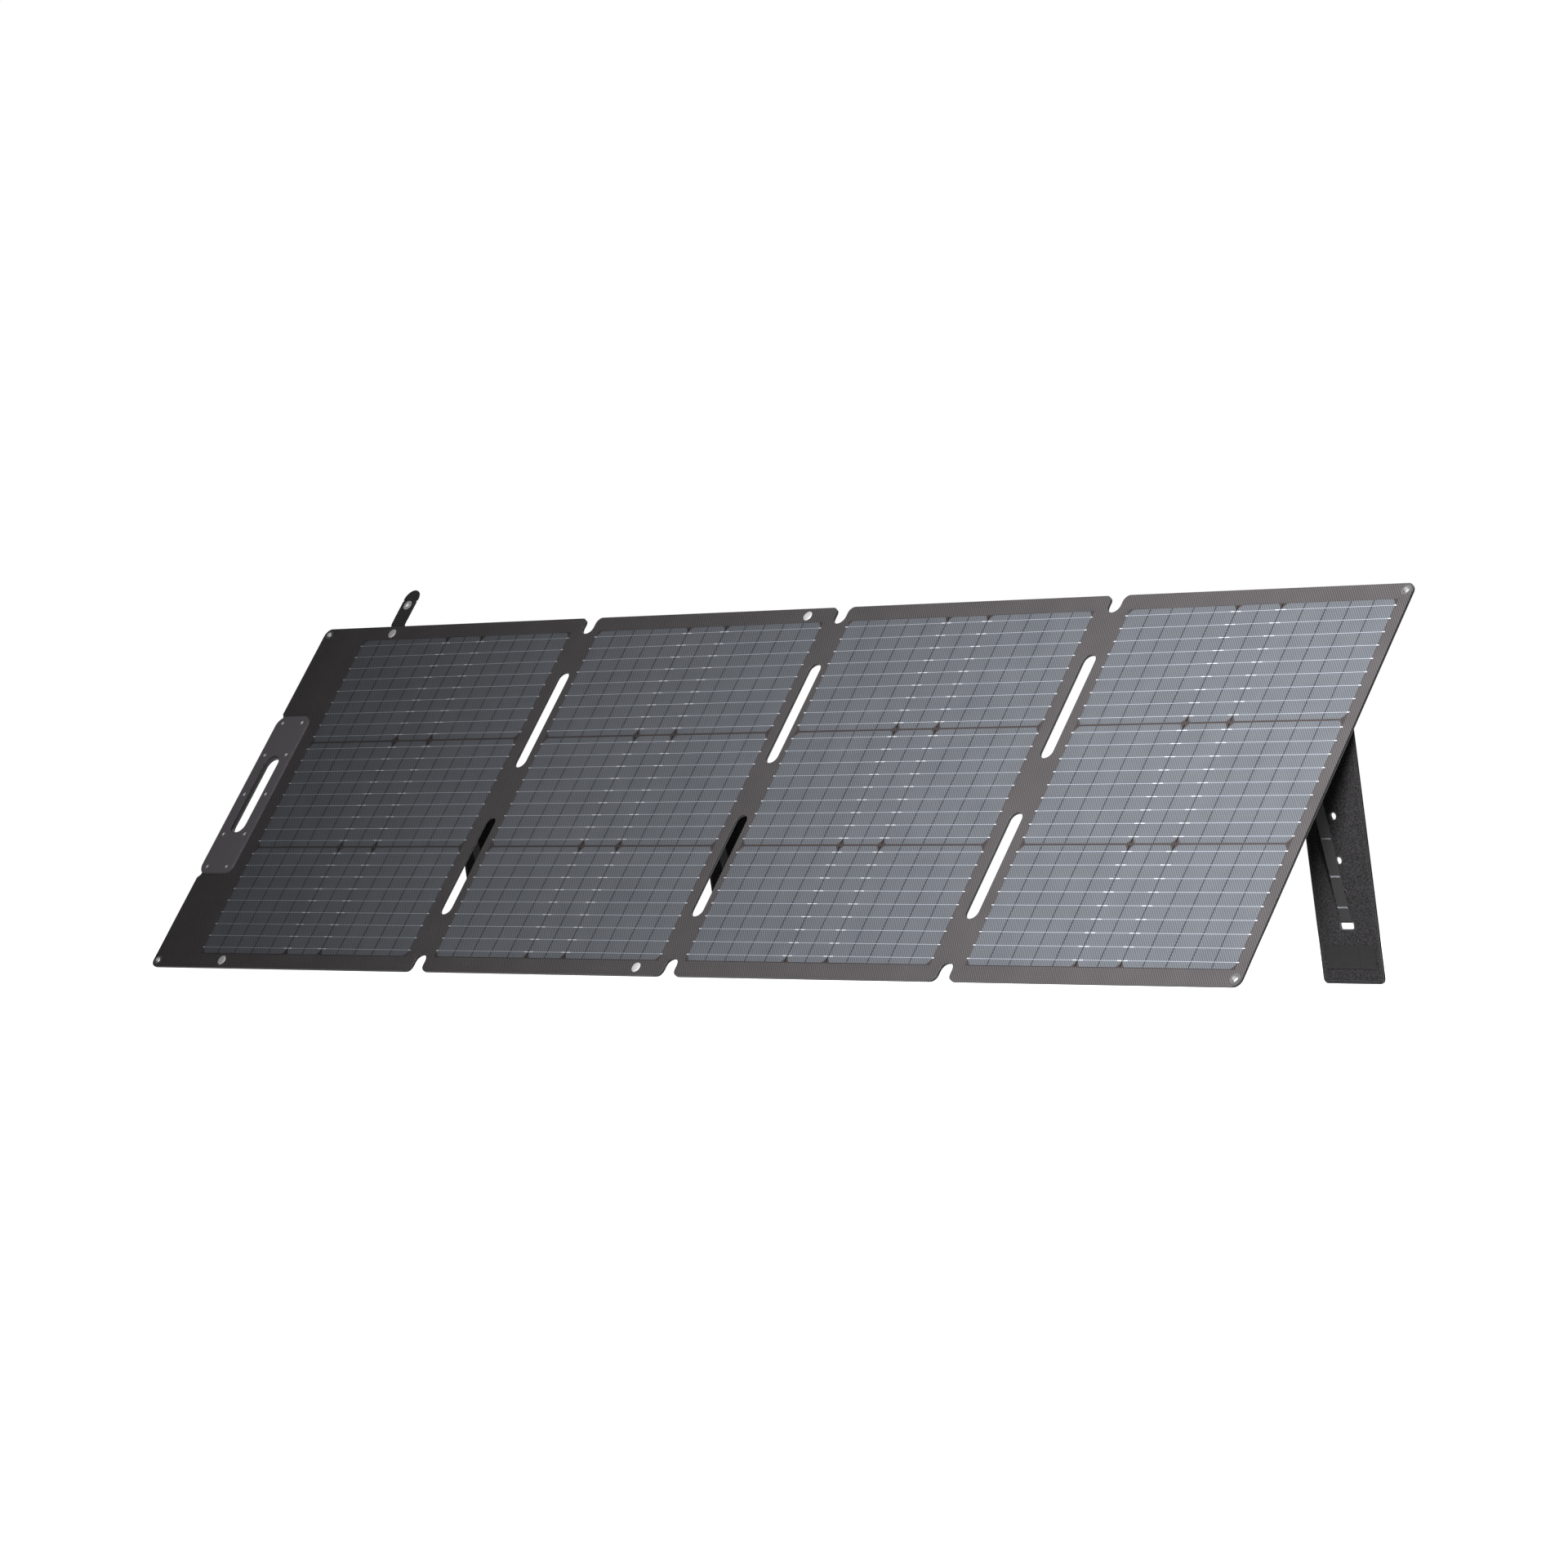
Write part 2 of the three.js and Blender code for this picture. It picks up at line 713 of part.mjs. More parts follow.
function tether(x) {
  const ribbon = new THREE.ExtrudeGeometry(ribbonOutline(tetherPath(), TETHER_T), {
    depth: TETHER_W,
    bevelEnabled: false,
  });
  // The outline's (v, n) becomes the panel's (v, n), and its depth runs along x.
  const turn = new THREE.Matrix4().makeBasis(
    new THREE.Vector3(0, 1, 0),
    new THREE.Vector3(0, 0, 1),
    new THREE.Vector3(1, 0, 0),
  );
  return ribbon.applyMatrix4(turn).translate(x - TETHER_W / 2, 0, 0);
}

function addLeg(number) {
  const x = LEG_X[number] + LEG_W / 2;
  const leg = new THREE.Group();
  leg.position.set(x, LEG_HINGE_V, BACK_FACE);
  leg.rotation.x = LEG_SPREAD;
  add(leg, `leg_${number}`, "felt", legPlate());
  add(leg, `leg_${number}_hook_patch`, "webbing", hookPatch());
  plane.add(leg);
  const tape = rectangle(
    x - LEG_W / 2,
    LEG_HINGE_V + 4,
    x + LEG_W / 2,
    LEG_HINGE_V + 4 + TAPE_H,
  );
  add(
    plane,
    `leg_${number}_hinge_tape`,
    "felt",
    plate(tape, BACK_FACE - GAP - TAPE_T, BACK_FACE - GAP),
  );
  add(plane, `leg_${number}_tether`, "webbing", tether(x));
}

for (const number of [1, 2, 4]) addLeg(number);

// ---------- junction box and cable pouch, behind panel 2 ----------

function addJunctionBox() {
  const foot = BACK_FACE - GAP;
  const deep = foot - BOX_DEPTH;
  const outer = (inset) =>
    roundedRect(
      BOX_X + inset,
      BOX_V + inset,
      BOX_X + BOX_W - inset,
      BOX_V + BOX_H - inset,
      5 - inset,
    );
  const glandX = BOX_X + BOX_W / 2;
  const glandN = foot - BOX_DEPTH / 2;
  const along = (geometry, v) => geometry.rotateX(Math.PI).translate(glandX, v, glandN);
  const hollow = plate(outer(BOX_WALL), deep - 1, foot - BOX_WALL, 3);
  const glandHole = along(new THREE.CylinderGeometry(4.8, 4.8, 12, 16), BOX_V);
  const tray = cut(plate(outer(0), deep, foot, 3), [hollow, glandHole]);
  add(plane, "junction_box_tray", "blackPlastic", tray);
  const lid = plate(outer(0), deep - GAP - LID_T, deep - GAP, 3);
  add(plane, "junction_box_lid", "blackPlastic", lid);
  const diodes = roundedRect(
    BOX_X + 10,
    BOX_V + 10,
    BOX_X + BOX_W - 10,
    BOX_V + BOX_H - 10,
    1,
  );
  add(
    plane,
    "diode_board",
    "blackPlastic",
    plate(diodes, foot - BOX_WALL - GAP - 2, foot - BOX_WALL - GAP, 2),
  );
  const gland = [
    [2.6, -2],
    [4.4, -2],
    [4.4, BOX_WALL + GAP],
    [5.4, BOX_WALL + GAP],
    [5.4, BOX_WALL + 6],
    [4.2, BOX_WALL + 12],
    [2.6, BOX_WALL + 12],
    [2.6, -2],
  ].map(([r, y]) => new THREE.Vector2(r, y - BOX_WALL));
  add(
    plane,
    "cable_gland",
    "blackPlastic",
    along(new THREE.LatheGeometry(gland, 16), BOX_V),
  );
}

// A flat zipped pouch with its sides drawn in, its zip tape, and the slider.
function addPouch() {
  const foot = BACK_FACE - GAP;
  const x0 = POUCH_X;
  const v0 = POUCH_V;
  const wide = roundedRect(x0, v0, x0 + POUCH_W, v0 + POUCH_H, 12);
  const inset = 7;
  const narrow = roundedRect(
    x0 + inset,
    v0 + inset,
    x0 + POUCH_W - inset,
    v0 + POUCH_H - inset,
    8,
  );
  const step = foot - 2;
  const pouch = join(plate(wide, step, foot, 3), plate(narrow, foot - POUCH_T, step + 0.01, 3));
  add(plane, "cable_pouch", "felt", pouch);

  const face = foot - POUCH_T - 0.15;
  const zipV = v0 + POUCH_H - inset - 18;
  const zipX = x0 + (POUCH_W - ZIP_LENGTH) / 2;
  const tape = rectangle(zipX, zipV - ZIP_W / 2, zipX + ZIP_LENGTH, zipV + ZIP_W / 2);
  add(plane, "pouch_zip", "webbing", plate(tape, face - 0.8, face));

  const slider = new THREE.Group();
  slider.position.set(zipX + 10, zipV, face - 0.8);
  plane.add(slider);
  const body = roundedRect(-5, -4, 5, 4, 2);
  const pull = roundedRect(3, -2.5, 26, 2.5, 2);
  pull.holes.push(circle(21, 0, 1.4));
  const made = join(plate(body, -3, -GAP, 3), plate(pull, -2.9, -1.6, 3));
  add(slider, "pouch_zip_slider", "nickel", made);
}

addJunctionBox();
addPouch();

// ---------- the frame ----------

const box = new THREE.Box3().setFromObject(solarPanel, true);
const centre = box.getCenter(new THREE.Vector3());
plane.position.set(-centre.x, -centre.y, -box.min.z);

export default solarPanel;
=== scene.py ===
import json
import math

import bmesh
import bpy
from mathutils import Matrix, Vector


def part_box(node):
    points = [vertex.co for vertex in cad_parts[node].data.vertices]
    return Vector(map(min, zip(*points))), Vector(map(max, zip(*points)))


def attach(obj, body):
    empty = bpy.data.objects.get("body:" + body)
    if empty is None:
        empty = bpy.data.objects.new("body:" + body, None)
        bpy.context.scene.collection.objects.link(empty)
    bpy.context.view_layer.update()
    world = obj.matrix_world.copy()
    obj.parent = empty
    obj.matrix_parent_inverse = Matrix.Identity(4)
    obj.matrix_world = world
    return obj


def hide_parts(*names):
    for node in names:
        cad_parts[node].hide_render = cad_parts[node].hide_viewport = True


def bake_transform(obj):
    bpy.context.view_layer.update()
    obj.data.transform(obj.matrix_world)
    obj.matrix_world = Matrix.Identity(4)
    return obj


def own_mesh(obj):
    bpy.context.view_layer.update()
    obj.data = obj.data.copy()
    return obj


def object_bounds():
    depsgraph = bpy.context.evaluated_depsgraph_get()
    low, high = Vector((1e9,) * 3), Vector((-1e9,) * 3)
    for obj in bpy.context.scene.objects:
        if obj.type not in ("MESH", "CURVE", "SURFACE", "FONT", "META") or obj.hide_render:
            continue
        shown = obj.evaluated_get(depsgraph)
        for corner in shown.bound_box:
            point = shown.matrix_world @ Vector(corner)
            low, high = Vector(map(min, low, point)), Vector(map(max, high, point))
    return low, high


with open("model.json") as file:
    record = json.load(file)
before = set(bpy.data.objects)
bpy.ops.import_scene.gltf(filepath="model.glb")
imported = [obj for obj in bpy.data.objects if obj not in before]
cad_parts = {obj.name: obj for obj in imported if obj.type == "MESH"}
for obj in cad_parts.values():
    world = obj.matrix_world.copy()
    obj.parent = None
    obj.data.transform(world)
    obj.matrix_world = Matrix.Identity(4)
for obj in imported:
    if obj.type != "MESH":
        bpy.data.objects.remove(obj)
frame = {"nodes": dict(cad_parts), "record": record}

CAD_LOW, CAD_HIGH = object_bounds()

# ---------- the panel's own frame: x along the row, v up the panel, n out of its front ----------

MM = 0.001
TILT = math.radians(56)
HEIGHT = 598.0
LENGTH = (CAD_HIGH.x - CAD_LOW.x) / MM
BOARD_T = 2.5
BACK_FACE = -3.8

BOARD_LOW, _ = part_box("panel_2_board")
ORIGIN = Vector((CAD_LOW.x, BOARD_LOW.y, BOARD_LOW.z + BOARD_T * MM * math.cos(TILT)))
FRONT = Vector((0, -math.sin(TILT), math.cos(TILT)))
PLANE = Matrix.Translation(ORIGIN) @ Matrix.Rotation(TILT, 4, "X") @ Matrix.Scale(MM, 4)


def at(x, v, n):
    """A point of the panel's frame, in millimetres, as a point of the row's frame."""
    return PLANE @ Vector((x, v, n))


# ---------- outlines, as lists of (x, v) in millimetres ----------


def arc(x, v, r, start, end, count=8):
    """Points round a centre, from one angle in degrees to another."""
    angles = [math.radians(start + (end - start) * i / count) for i in range(count + 1)]
    return [(x + r * math.cos(a), v + r * math.sin(a)) for a in angles]


def circle(x, v, r, count=28):
    return arc(x, v, r, 0, 360, count)[:-1]


def rounded(x0, v0, x1, v1, r, count=6):
    """A rounded rectangle, anticlockwise."""
    return (
        arc(x1 - r, v0 + r, r, -90, 0, count)
        + arc(x1 - r, v1 - r, r, 0, 90, count)
        + arc(x0 + r, v1 - r, r, 90, 180, count)
        + arc(x0 + r, v0 + r, r, 180, 270, count)
    )


def rectangle(x0, v0, x1, v1):
    return [(x0, v0), (x1, v0), (x1, v1), (x0, v1)]


def closed(path):
    return path + [path[0]]


# ---------- mesh building ----------


def piece(name, mesh, material, body=None, place=PLANE):
    """A named object made from a mesh in a local frame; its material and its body."""
    mesh.transform(place)
    mesh.name = name
    obj = bpy.data.objects.new(name, mesh)
    bpy.context.scene.collection.objects.link(obj)
    mesh.materials.clear()
    mesh.materials.append(material)
    if body:
        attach(obj, body)
    return obj


def prisms(outlines, back, front):
    """Straight-sided pieces over many small outlines, all in one mesh."""
    verts, faces = [], []
    for outline in outlines:
        base, count = len(verts), len(outline)
        verts += [(x, v, back) for x, v in outline]
        verts += [(x, v, front) for x, v in outline]
        faces.append([base + i for i in reversed(range(count))])
        faces.append([base + count + i for i in range(count)])
        for i in range(count):
            j = (i + 1) % count
            faces.append([base + i, base + j, base + count + j, base + count + i])
    mesh = bpy.data.meshes.new("prisms")
    mesh.from_pydata(verts, [], faces)
    return mesh


def plate(outline, holes, back, front, bevel=0.0):
    """A flat piece with holes and rounded edges, made as a filled curve."""
    curve = bpy.data.curves.new("plate", "CURVE")
    curve.dimensions = "2D"
    curve.fill_mode = "BOTH"
    curve.extrude = (front - back) / 2 - bevel
    curve.bevel_depth = bevel
    curve.bevel_resolution = 2
    curve.offset = -bevel
    for points in [outline] + [list(reversed(h)) for h in holes]:
        spline = curve.splines.new("POLY")
        spline.points.add(len(points) - 1)
        spline.use_cyclic_u = True
        for point, (x, v) in zip(spline.points, points):
            point.co = (x, v, 0, 1)
    obj = bpy.data.objects.new("plate", curve)
    bpy.context.scene.collection.objects.link(obj)
    bpy.context.view_layer.update()
    filled = obj.evaluated_get(bpy.context.evaluated_depsgraph_get())
    mesh = bpy.data.meshes.new_from_object(filled)
    bpy.data.objects.remove(obj)
    weld(mesh, 0.004)
    mesh.transform(Matrix.Translation((0, 0, (front + back) / 2)))
    return mesh


def weld(mesh, distance):
    """Merges points that coincide, and turns all faces outwards."""
    bm = bmesh.new()
    bm.from_mesh(mesh)
    bmesh.ops.remove_doubles(bm, verts=bm.verts, dist=distance)
    bmesh.ops.recalc_face_normals(bm, faces=bm.faces)
    bm.to_mesh(mesh)
    bm.free()


def slice_across(mesh, axis, places):
    """Cuts new edges across a mesh, so that it can bend there."""
    bm = bmesh.new()
    bm.from_mesh(mesh)
    normal = Vector([1.0 if i == axis else 0.0 for i in range(3)])
    for place in places:
        everything = bm.verts[:] + bm.edges[:] + bm.faces[:]
        bmesh.ops.bisect_plane(bm, geom=everything, plane_co=normal * place, plane_no=normal)
    bm.to_mesh(mesh)
    bm.free()


def steps(start, end, step):
    """Evenly spaced values from start to end, about a step apart."""
    count = max(1, round(abs(end - start) / step))
    return [start + (end - start) * i / count for i in range(count + 1)]


def rounded_path(path, radius=1.5, count=4):
    """The path with each corner eased by a small curve."""
    points = [Vector(p) for p in path]
    eased = [points[0]]
    for before, here, after in zip(points, points[1:], points[2:]):
        reach_in = min(radius, (here - before).length * 0.45)
        reach_out = min(radius, (after - here).length * 0.45)
        a = here + (before - here).normalized() * reach_in
        b = here + (after - here).normalized() * reach_out
        for i in range(count + 1):
            t = i / count
            eased.append(a.lerp(here, t).lerp(here.lerp(b, t), t))
    eased.append(points[-1])
    return eased


def ribbon_line(path, radius, spacing):
    """The eased path with points added, so that no step is much longer than the spacing."""
    line = []
    eased = rounded_path(path, radius)
    for a, b in zip(eased, eased[1:]):
        count = max(1, int((b - a).length / spacing))
        line += [a.lerp(b, i / count) for i in range(count)]
    return line + [eased[-1]]


def ribbon_section(width, thickness):
    """The cross-section of a flat band with rounded edges, as (x, height) points."""
    half, t = width / 2, thickness / 2
    edge = t * 0.6
    shoulder, shoulder_height = half - edge * 0.3, t * 0.7
    upper = [
        (-half, 0),
        (-shoulder, shoulder_height),
        (-half + edge, t),
        (half - edge, t),
        (shoulder, shoulder_height),
    ]
    return upper + [(-x, -height) for x, height in upper]


def ribbon(path, x, width, thickness, radius=1.5, spacing=6.0):
    """A flat band of cloth whose middle line runs along (v, n) points."""
    line = ribbon_line(path, radius, spacing)
    section = ribbon_section(width, thickness)
    verts, faces = [], []
    for i, here in enumerate(line):
        before, after = line[max(i - 1, 0)], line[min(i + 1, len(line) - 1)]
        along = (after - before).normalized()
        side = Vector((-along.y, along.x))
        verts += [(x + sx, here.x + side.x * sn, here.y + side.y * sn) for sx, sn in section]
    count = len(section)
    for i in range(len(line) - 1):
        for k in range(count):
            m = (k + 1) % count
            a, b = i * count, (i + 1) * count
            faces.append([a + k, a + m, b + m, b + k])
    faces.append(list(range(count)))
    last = (len(line) - 1) * count
    faces.append([last + k for k in reversed(range(count))])
    mesh = bpy.data.meshes.new("ribbon")
    mesh.from_pydata(verts, [], faces)
    weld(mesh, 0.0001)
    return mesh


def stitches(path, length=3.4, pitch=5.2, width=0.55):
    """Sewing dashes along (x, v) points, as outlines for prisms."""
    dashes = []
    for (x0, v0), (x1, v1) in zip(path, path[1:]):
        a, b = Vector((x0, v0)), Vector((x1, v1))
        along = (b - a).normalized()
        side = Vector((-along.y, along.x)) * (width / 2)
        count = int((b - a).length / pitch)
        for i in range(count):
            p = a + along * (i + 0.5 - length / pitch / 2) * pitch
            q = p + along * length
            dashes.append([tuple(p - side), tuple(q - side), tuple(q + side), tuple(p + side)])
    return dashes


# ---------- materials ----------


class Nodes:
    """A small helper that builds a Principled material's node tree."""

    def __init__(self, name, roughness, metallic=0.0, specular=0.5):
        self.material = bpy.data.materials.new(name)
        self.material.use_nodes = True
        self.tree = self.material.node_tree
        self.shader = self.tree.nodes["Principled BSDF"]
        self.shader.inputs["Roughness"].default_value = roughness
        self.shader.inputs["Metallic"].default_value = metallic
        self.shader.inputs["Specular IOR Level"].default_value = specular
        coordinates = self.tree.nodes.new("ShaderNodeTexCoord")
        self.place = coordinates.outputs["Object"]
        self.normal = coordinates.outputs["Normal"]

    def node(self, kind, inputs=(), **settings):
        made = self.tree.nodes.new(kind)
        for key, value in settings.items():
            setattr(made, key, value)
        for key, value in dict(inputs).items():
            if isinstance(value, bpy.types.NodeSocket):
                self.tree.links.new(value, made.inputs[key])
            else:
                made.inputs[key].default_value = value
        return made

    def maths(self, operation, a, b=0.0, c=0.0):
        inputs = {0: a, 1: b, 2: c}
        return self.node("ShaderNodeMath", inputs, operation=operation).outputs[0]

    def turned(self, angle, scale=(1, 1, 1)):
        """Object coordinates in millimetres, turned about x and then scaled."""
        flat = self.node(
            "ShaderNodeMapping",
            {"Vector": self.place, "Rotation": (-angle, 0, 0), "Scale": (1000, 1000, 1000)},
        ).outputs[0]
        return self.node("ShaderNodeMapping", {"Vector": flat, "Scale": scale}).outputs[0]

    def mix(self, factor, a, b):
        made = self.tree.nodes.new("ShaderNodeMix")
        made.data_type = "RGBA"
        for socket, value in zip((made.inputs[0], made.inputs[6], made.inputs[7]), (factor, a, b)):
            if isinstance(value, bpy.types.NodeSocket):
                self.tree.links.new(value, socket)
            else:
                socket.default_value = value
        return made.outputs[2]

    def ramp(self, factor, low, high):
        """Where factor is between low and high, from 0 to 1."""
        return self.node(
            "ShaderNodeMapRange", {0: factor, 1: low, 2: high, 3: 0.0, 4: 1.0}
        ).outputs[0]

    def noise(self, vector, scale, detail=2.0, roughness=0.5):
        inputs = {"Vector": vector, "Scale": scale, "Detail": detail, "Roughness": roughness}
        return self.node("ShaderNodeTexNoise", inputs).outputs[0]

    def bump(self, height, distance, strength=1.0):
        made = self.node(
            "ShaderNodeBump", {"Height": height, "Distance": distance, "Strength": strength}
        )
        self.tree.links.new(made.outputs[0], self.shader.inputs["Normal"])

    def colour(self, value):
        self.tree.links.new(value, self.shader.inputs["Base Color"])


def shade(value):
    """A neutral grey."""
    return (value, value, value, 1)


def film(name, dark, light, roughness=0.42, edge=True, specular=0.5):
    """Embossed plastic film: staggered dots in rows, and black cut edges off the front face."""
    n = Nodes(name, roughness, specular=specular)
    pitch, rows = 3.7, 2.4
    grid = n.turned(TILT, (1 / pitch, 1 / (2 * rows), 0))
    shifted = n.node("ShaderNodeMapping", {"Vector": grid, "Location": (0.5, 0.5, 0)}).outputs[0]
    spots = [
        n.node(
            "ShaderNodeTexVoronoi",
            {"Vector": place, "Scale": 1.0, "Randomness": 0.0},
            voronoi_dimensions="2D",
        ).outputs["Distance"]
        for place in (grid, shifted)
    ]
    near = n.maths("MINIMUM", spots[0], spots[1])
    dot = n.ramp(near, 0.36, 0.14)
    patch = n.noise(n.turned(TILT, (0.02, 0.02, 0.02)), 1.0)
    level = n.maths("MULTIPLY_ADD", patch, 0.18, n.maths("MULTIPLY", dot, 0.85))
    face = n.mix(level, dark, light)
    if edge:
        facing = n.node(
            "ShaderNodeVectorMath", {0: n.normal, 1: tuple(FRONT)}, operation="DOT_PRODUCT"
        ).outputs["Value"]
        face = n.mix(n.ramp(facing, 0.5, 0.6), shade(0.006), face)
    n.colour(face)
    n.bump(dot, 0.00016, 0.5)
    return n.material


def felt(name, dark, light, angle=TILT, sheen=0.25):
    """Heathered brushed cloth, made of two lengths of fibre."""
    n = Nodes(name, 0.95, specular=0.1)
    n.shader.inputs["Sheen Weight"].default_value = sheen
    n.shader.inputs["Sheen Roughness"].default_value = 0.5
    fleck = n.noise(n.turned(angle, (0.3, 0.8, 0.3)), 1.0, 3.0, 0.7)
    cross = n.noise(n.turned(angle, (1.1, 0.35, 1.1)), 1.0, 3.0, 0.7)
    both = n.maths("MULTIPLY_ADD", cross, 0.5, n.maths("MULTIPLY", fleck, 0.5))
    n.colour(n.mix(n.ramp(both, 0.40, 0.60), dark, light))
    n.bump(both, 0.0006, 0.7)
    return n.material


def webbing(name, angle, dark, light, pitch=2.6, twill=0.0):
    """Woven tape: ribs across its length, or slanting lines where twill isn't 0."""
    n = Nodes(name, 0.75, specular=0.3)
    place = n.turned(angle)
    parts = n.node("ShaderNodeSeparateXYZ", {0: place})
    slant = n.maths("MULTIPLY_ADD", parts.outputs[0], twill, parts.outputs[1])
    rib = n.maths("SINE", n.maths("MULTIPLY", slant, 2 * math.pi / pitch))
    thread = n.maths("SINE", n.maths("MULTIPLY", parts.outputs[0], 2 * math.pi / 0.9))
    height = n.maths("MULTIPLY_ADD", thread, 0.15, n.maths("MULTIPLY", rib, 0.5))
    n.colour(n.mix(n.ramp(height, -0.4, 0.5), dark, light))
    n.bump(height, 0.0003, 0.8)
    return n.material


def moulded(name, colour, roughness, grain=0.00004):
    """Satin plastic with a fine spark-eroded grain."""
    n = Nodes(name, roughness, specular=0.45)
    speck = n.noise(n.turned(TILT, (1.4, 1.4, 1.4)), 1.0, 2.0)
    lighter = tuple(c * 1.12 for c in colour[:3]) + (1,)
    n.colour(n.mix(n.ramp(speck, 0.3, 0.7), colour, lighter))
    n.bump(speck, grain, 0.5)
    return n.material


def metal(name, value, roughness, metallic=1.0):
    """Plated metal, slightly worn in patches."""
    n = Nodes(name, roughness, metallic=metallic)
    wear = n.noise(n.turned(TILT, (0.5, 0.5, 0.5)), 1.0, 3.0)
    n.colour(n.mix(n.ramp(wear, 0.3, 0.7), shade(value * 0.88), shade(value)))
    return n.material


FILM = film("border_film", (0.022, 0.020, 0.021, 1), (0.118, 0.110, 0.113, 1), specular=0.25)
CELL_FILM = film(
    "cell_film", (0.034, 0.039, 0.047, 1), (0.17, 0.179, 0.196, 1), edge=False, specular=0.3
)
GAP_FILM = film("row_gap_film", (0.016, 0.013, 0.013, 1), (0.075, 0.062, 0.062, 1), edge=False)
STRIP_GAP = film(
    "strip_gap_film", (0.002, 0.002, 0.002, 1), (0.006, 0.006, 0.007, 1), edge=False, specular=0.12
)
BUSBAR = moulded("busbar_ribbon", (0.3, 0.32, 0.36, 1), 0.35)
TAB = moulded("solder_tab", (0.62, 0.64, 0.67, 1), 0.3)
FELT = felt("back_felt", (0.012, 0.012, 0.013, 1), (0.075, 0.075, 0.078, 1))
THREAD = moulded("stitching", (0.02, 0.02, 0.021, 1), 0.7)
HANDLE = moulded("handle_plastic", (0.145, 0.135, 0.147, 1), 0.34)
BLACK = moulded("black_plastic", (0.018, 0.018, 0.019, 1), 0.45)
EDGE_TAPE = moulded("edge_binding", (0.008, 0.008, 0.0085, 1), 0.6)
NICKEL = metal("nickel", 0.85, 0.35, 0.4)
EYELET = metal("eyelet_metal", 0.3, 0.3, 0.7)
DARK_STEEL = metal("zip_steel", 0.3, 0.35)
STRAP = webbing("strap_webbing", TILT, (0.008, 0.008, 0.009, 1), (0.06, 0.06, 0.062, 1))
TWILL = webbing("tether_twill", TILT, (0.005, 0.005, 0.006, 1), (0.05, 0.05, 0.052, 1), 2.4, 1.3)
LOOP = felt("loop_pile", (0.006, 0.006, 0.006, 1), (0.025, 0.025, 0.026, 1))

# ---------- panels: cells, ribbons and tabs under the film ----------

# HINGES: the middle of each fabric web. CELL_X: the left edge of each panel's cell field.
HINGES = {"12": 581.0, "23": 1084.0, "34": 1587.0}
WEB_HALF = 22.3
CELL_X = {1: 99.8, 2: 606.9, 3: 1106.7, 4: 1617.3}
CELL_V = 24.0
CELL_W = 448.9
ROWS = 3
STRIPS = 12
STRIP_PITCH = CELL_W / STRIPS
STRIP_GAP_W = 1.3
GAP_LINE_HALF = 0.7
WAFER = 182.0
WAFER_MARGIN = 0.4
ROW_GAP = 2.0
BUSBARS = 9
RIBBON_HALF = 0.33
RIBBON_OVERRUN = 2
TAB_LENGTH = 6.5
END_TAB_LENGTH = 4.0
TAB_HALF = 0.5
TAB_CLEAR = 2.2
CHAMFER = 8.0
NO_CHAMFER = 0.01
CHAMFER_RUN = 0.8
# The boundaries between strips where the wafers' own corners meet.
BRIDGED = (5, 7)


def row_base(row):
    """The lower edge of a row of wafers."""
    return CELL_V + row * (WAFER + ROW_GAP)


def strip_outline(x, v, left_cut, right_cut):
    """One cell strip, its corners cut where the wafer had its own cut corners."""
    x0, x1 = x + STRIP_GAP_W / 2, x + STRIP_PITCH - STRIP_GAP_W / 2
    v0, v1 = v + WAFER_MARGIN, v + WAFER - WAFER_MARGIN
    a = CHAMFER if left_cut else NO_CHAMFER
    b = CHAMFER if right_cut else NO_CHAMFER
    return [
        (x0 + a * CHAMFER_RUN, v0),
        (x1 - b * CHAMFER_RUN, v0),
        (x1, v0 + b),
        (x1, v1 - b),
        (x1 - b * CHAMFER_RUN, v1),
        (x0 + a * CHAMFER_RUN, v1),
        (x0, v1 - a),
        (x0, v0 + a),
    ]


def cell_strips(x):
    """Every strip of one panel, with cut corners at its ends and at the bridged boundaries."""
    cuts = set(BRIDGED) | {0, STRIPS}
    return [
        strip_outline(x + i * STRIP_PITCH, row_base(row), i in cuts, i + 1 in cuts)
        for row in range(ROWS)
        for i in range(STRIPS)
    ]


def strip_gaps(x):
    """The dark lines between neighbouring strips."""
    outlines = []
    for row in range(ROWS):
        low, high = row_base(row) + 1, row_base(row) + WAFER - 1
        for i in range(1, STRIPS):
            middle = x + i * STRIP_PITCH
            outlines.append(rectangle(middle - GAP_LINE_HALF, low, middle + GAP_LINE_HALF, high))
    return outlines


def row_gaps(x):
    """The wider lines between neighbouring rows."""
    return [
        rectangle(
            x + 1,
            row_base(row) - ROW_GAP - GAP_LINE_HALF,
            x + CELL_W - 1,
            row_base(row) + GAP_LINE_HALF,
        )
        for row in range(1, ROWS)
    ]


def busbar_heights():
    """How high each conductor runs, evenly spaced over each wafer."""
    pitch = WAFER / BUSBARS
    return [row_base(row) + (i + 0.5) * pitch for row in range(ROWS) for i in range(BUSBARS)]


def ribbon_ends(x):
    return x - RIBBON_OVERRUN, x + CELL_W + RIBBON_OVERRUN


def ribbon_outlines(x):
    """The thin conductors along the row."""
    left, right = ribbon_ends(x)
    return [rectangle(left, v - RIBBON_HALF, right, v + RIBBON_HALF) for v in busbar_heights()]


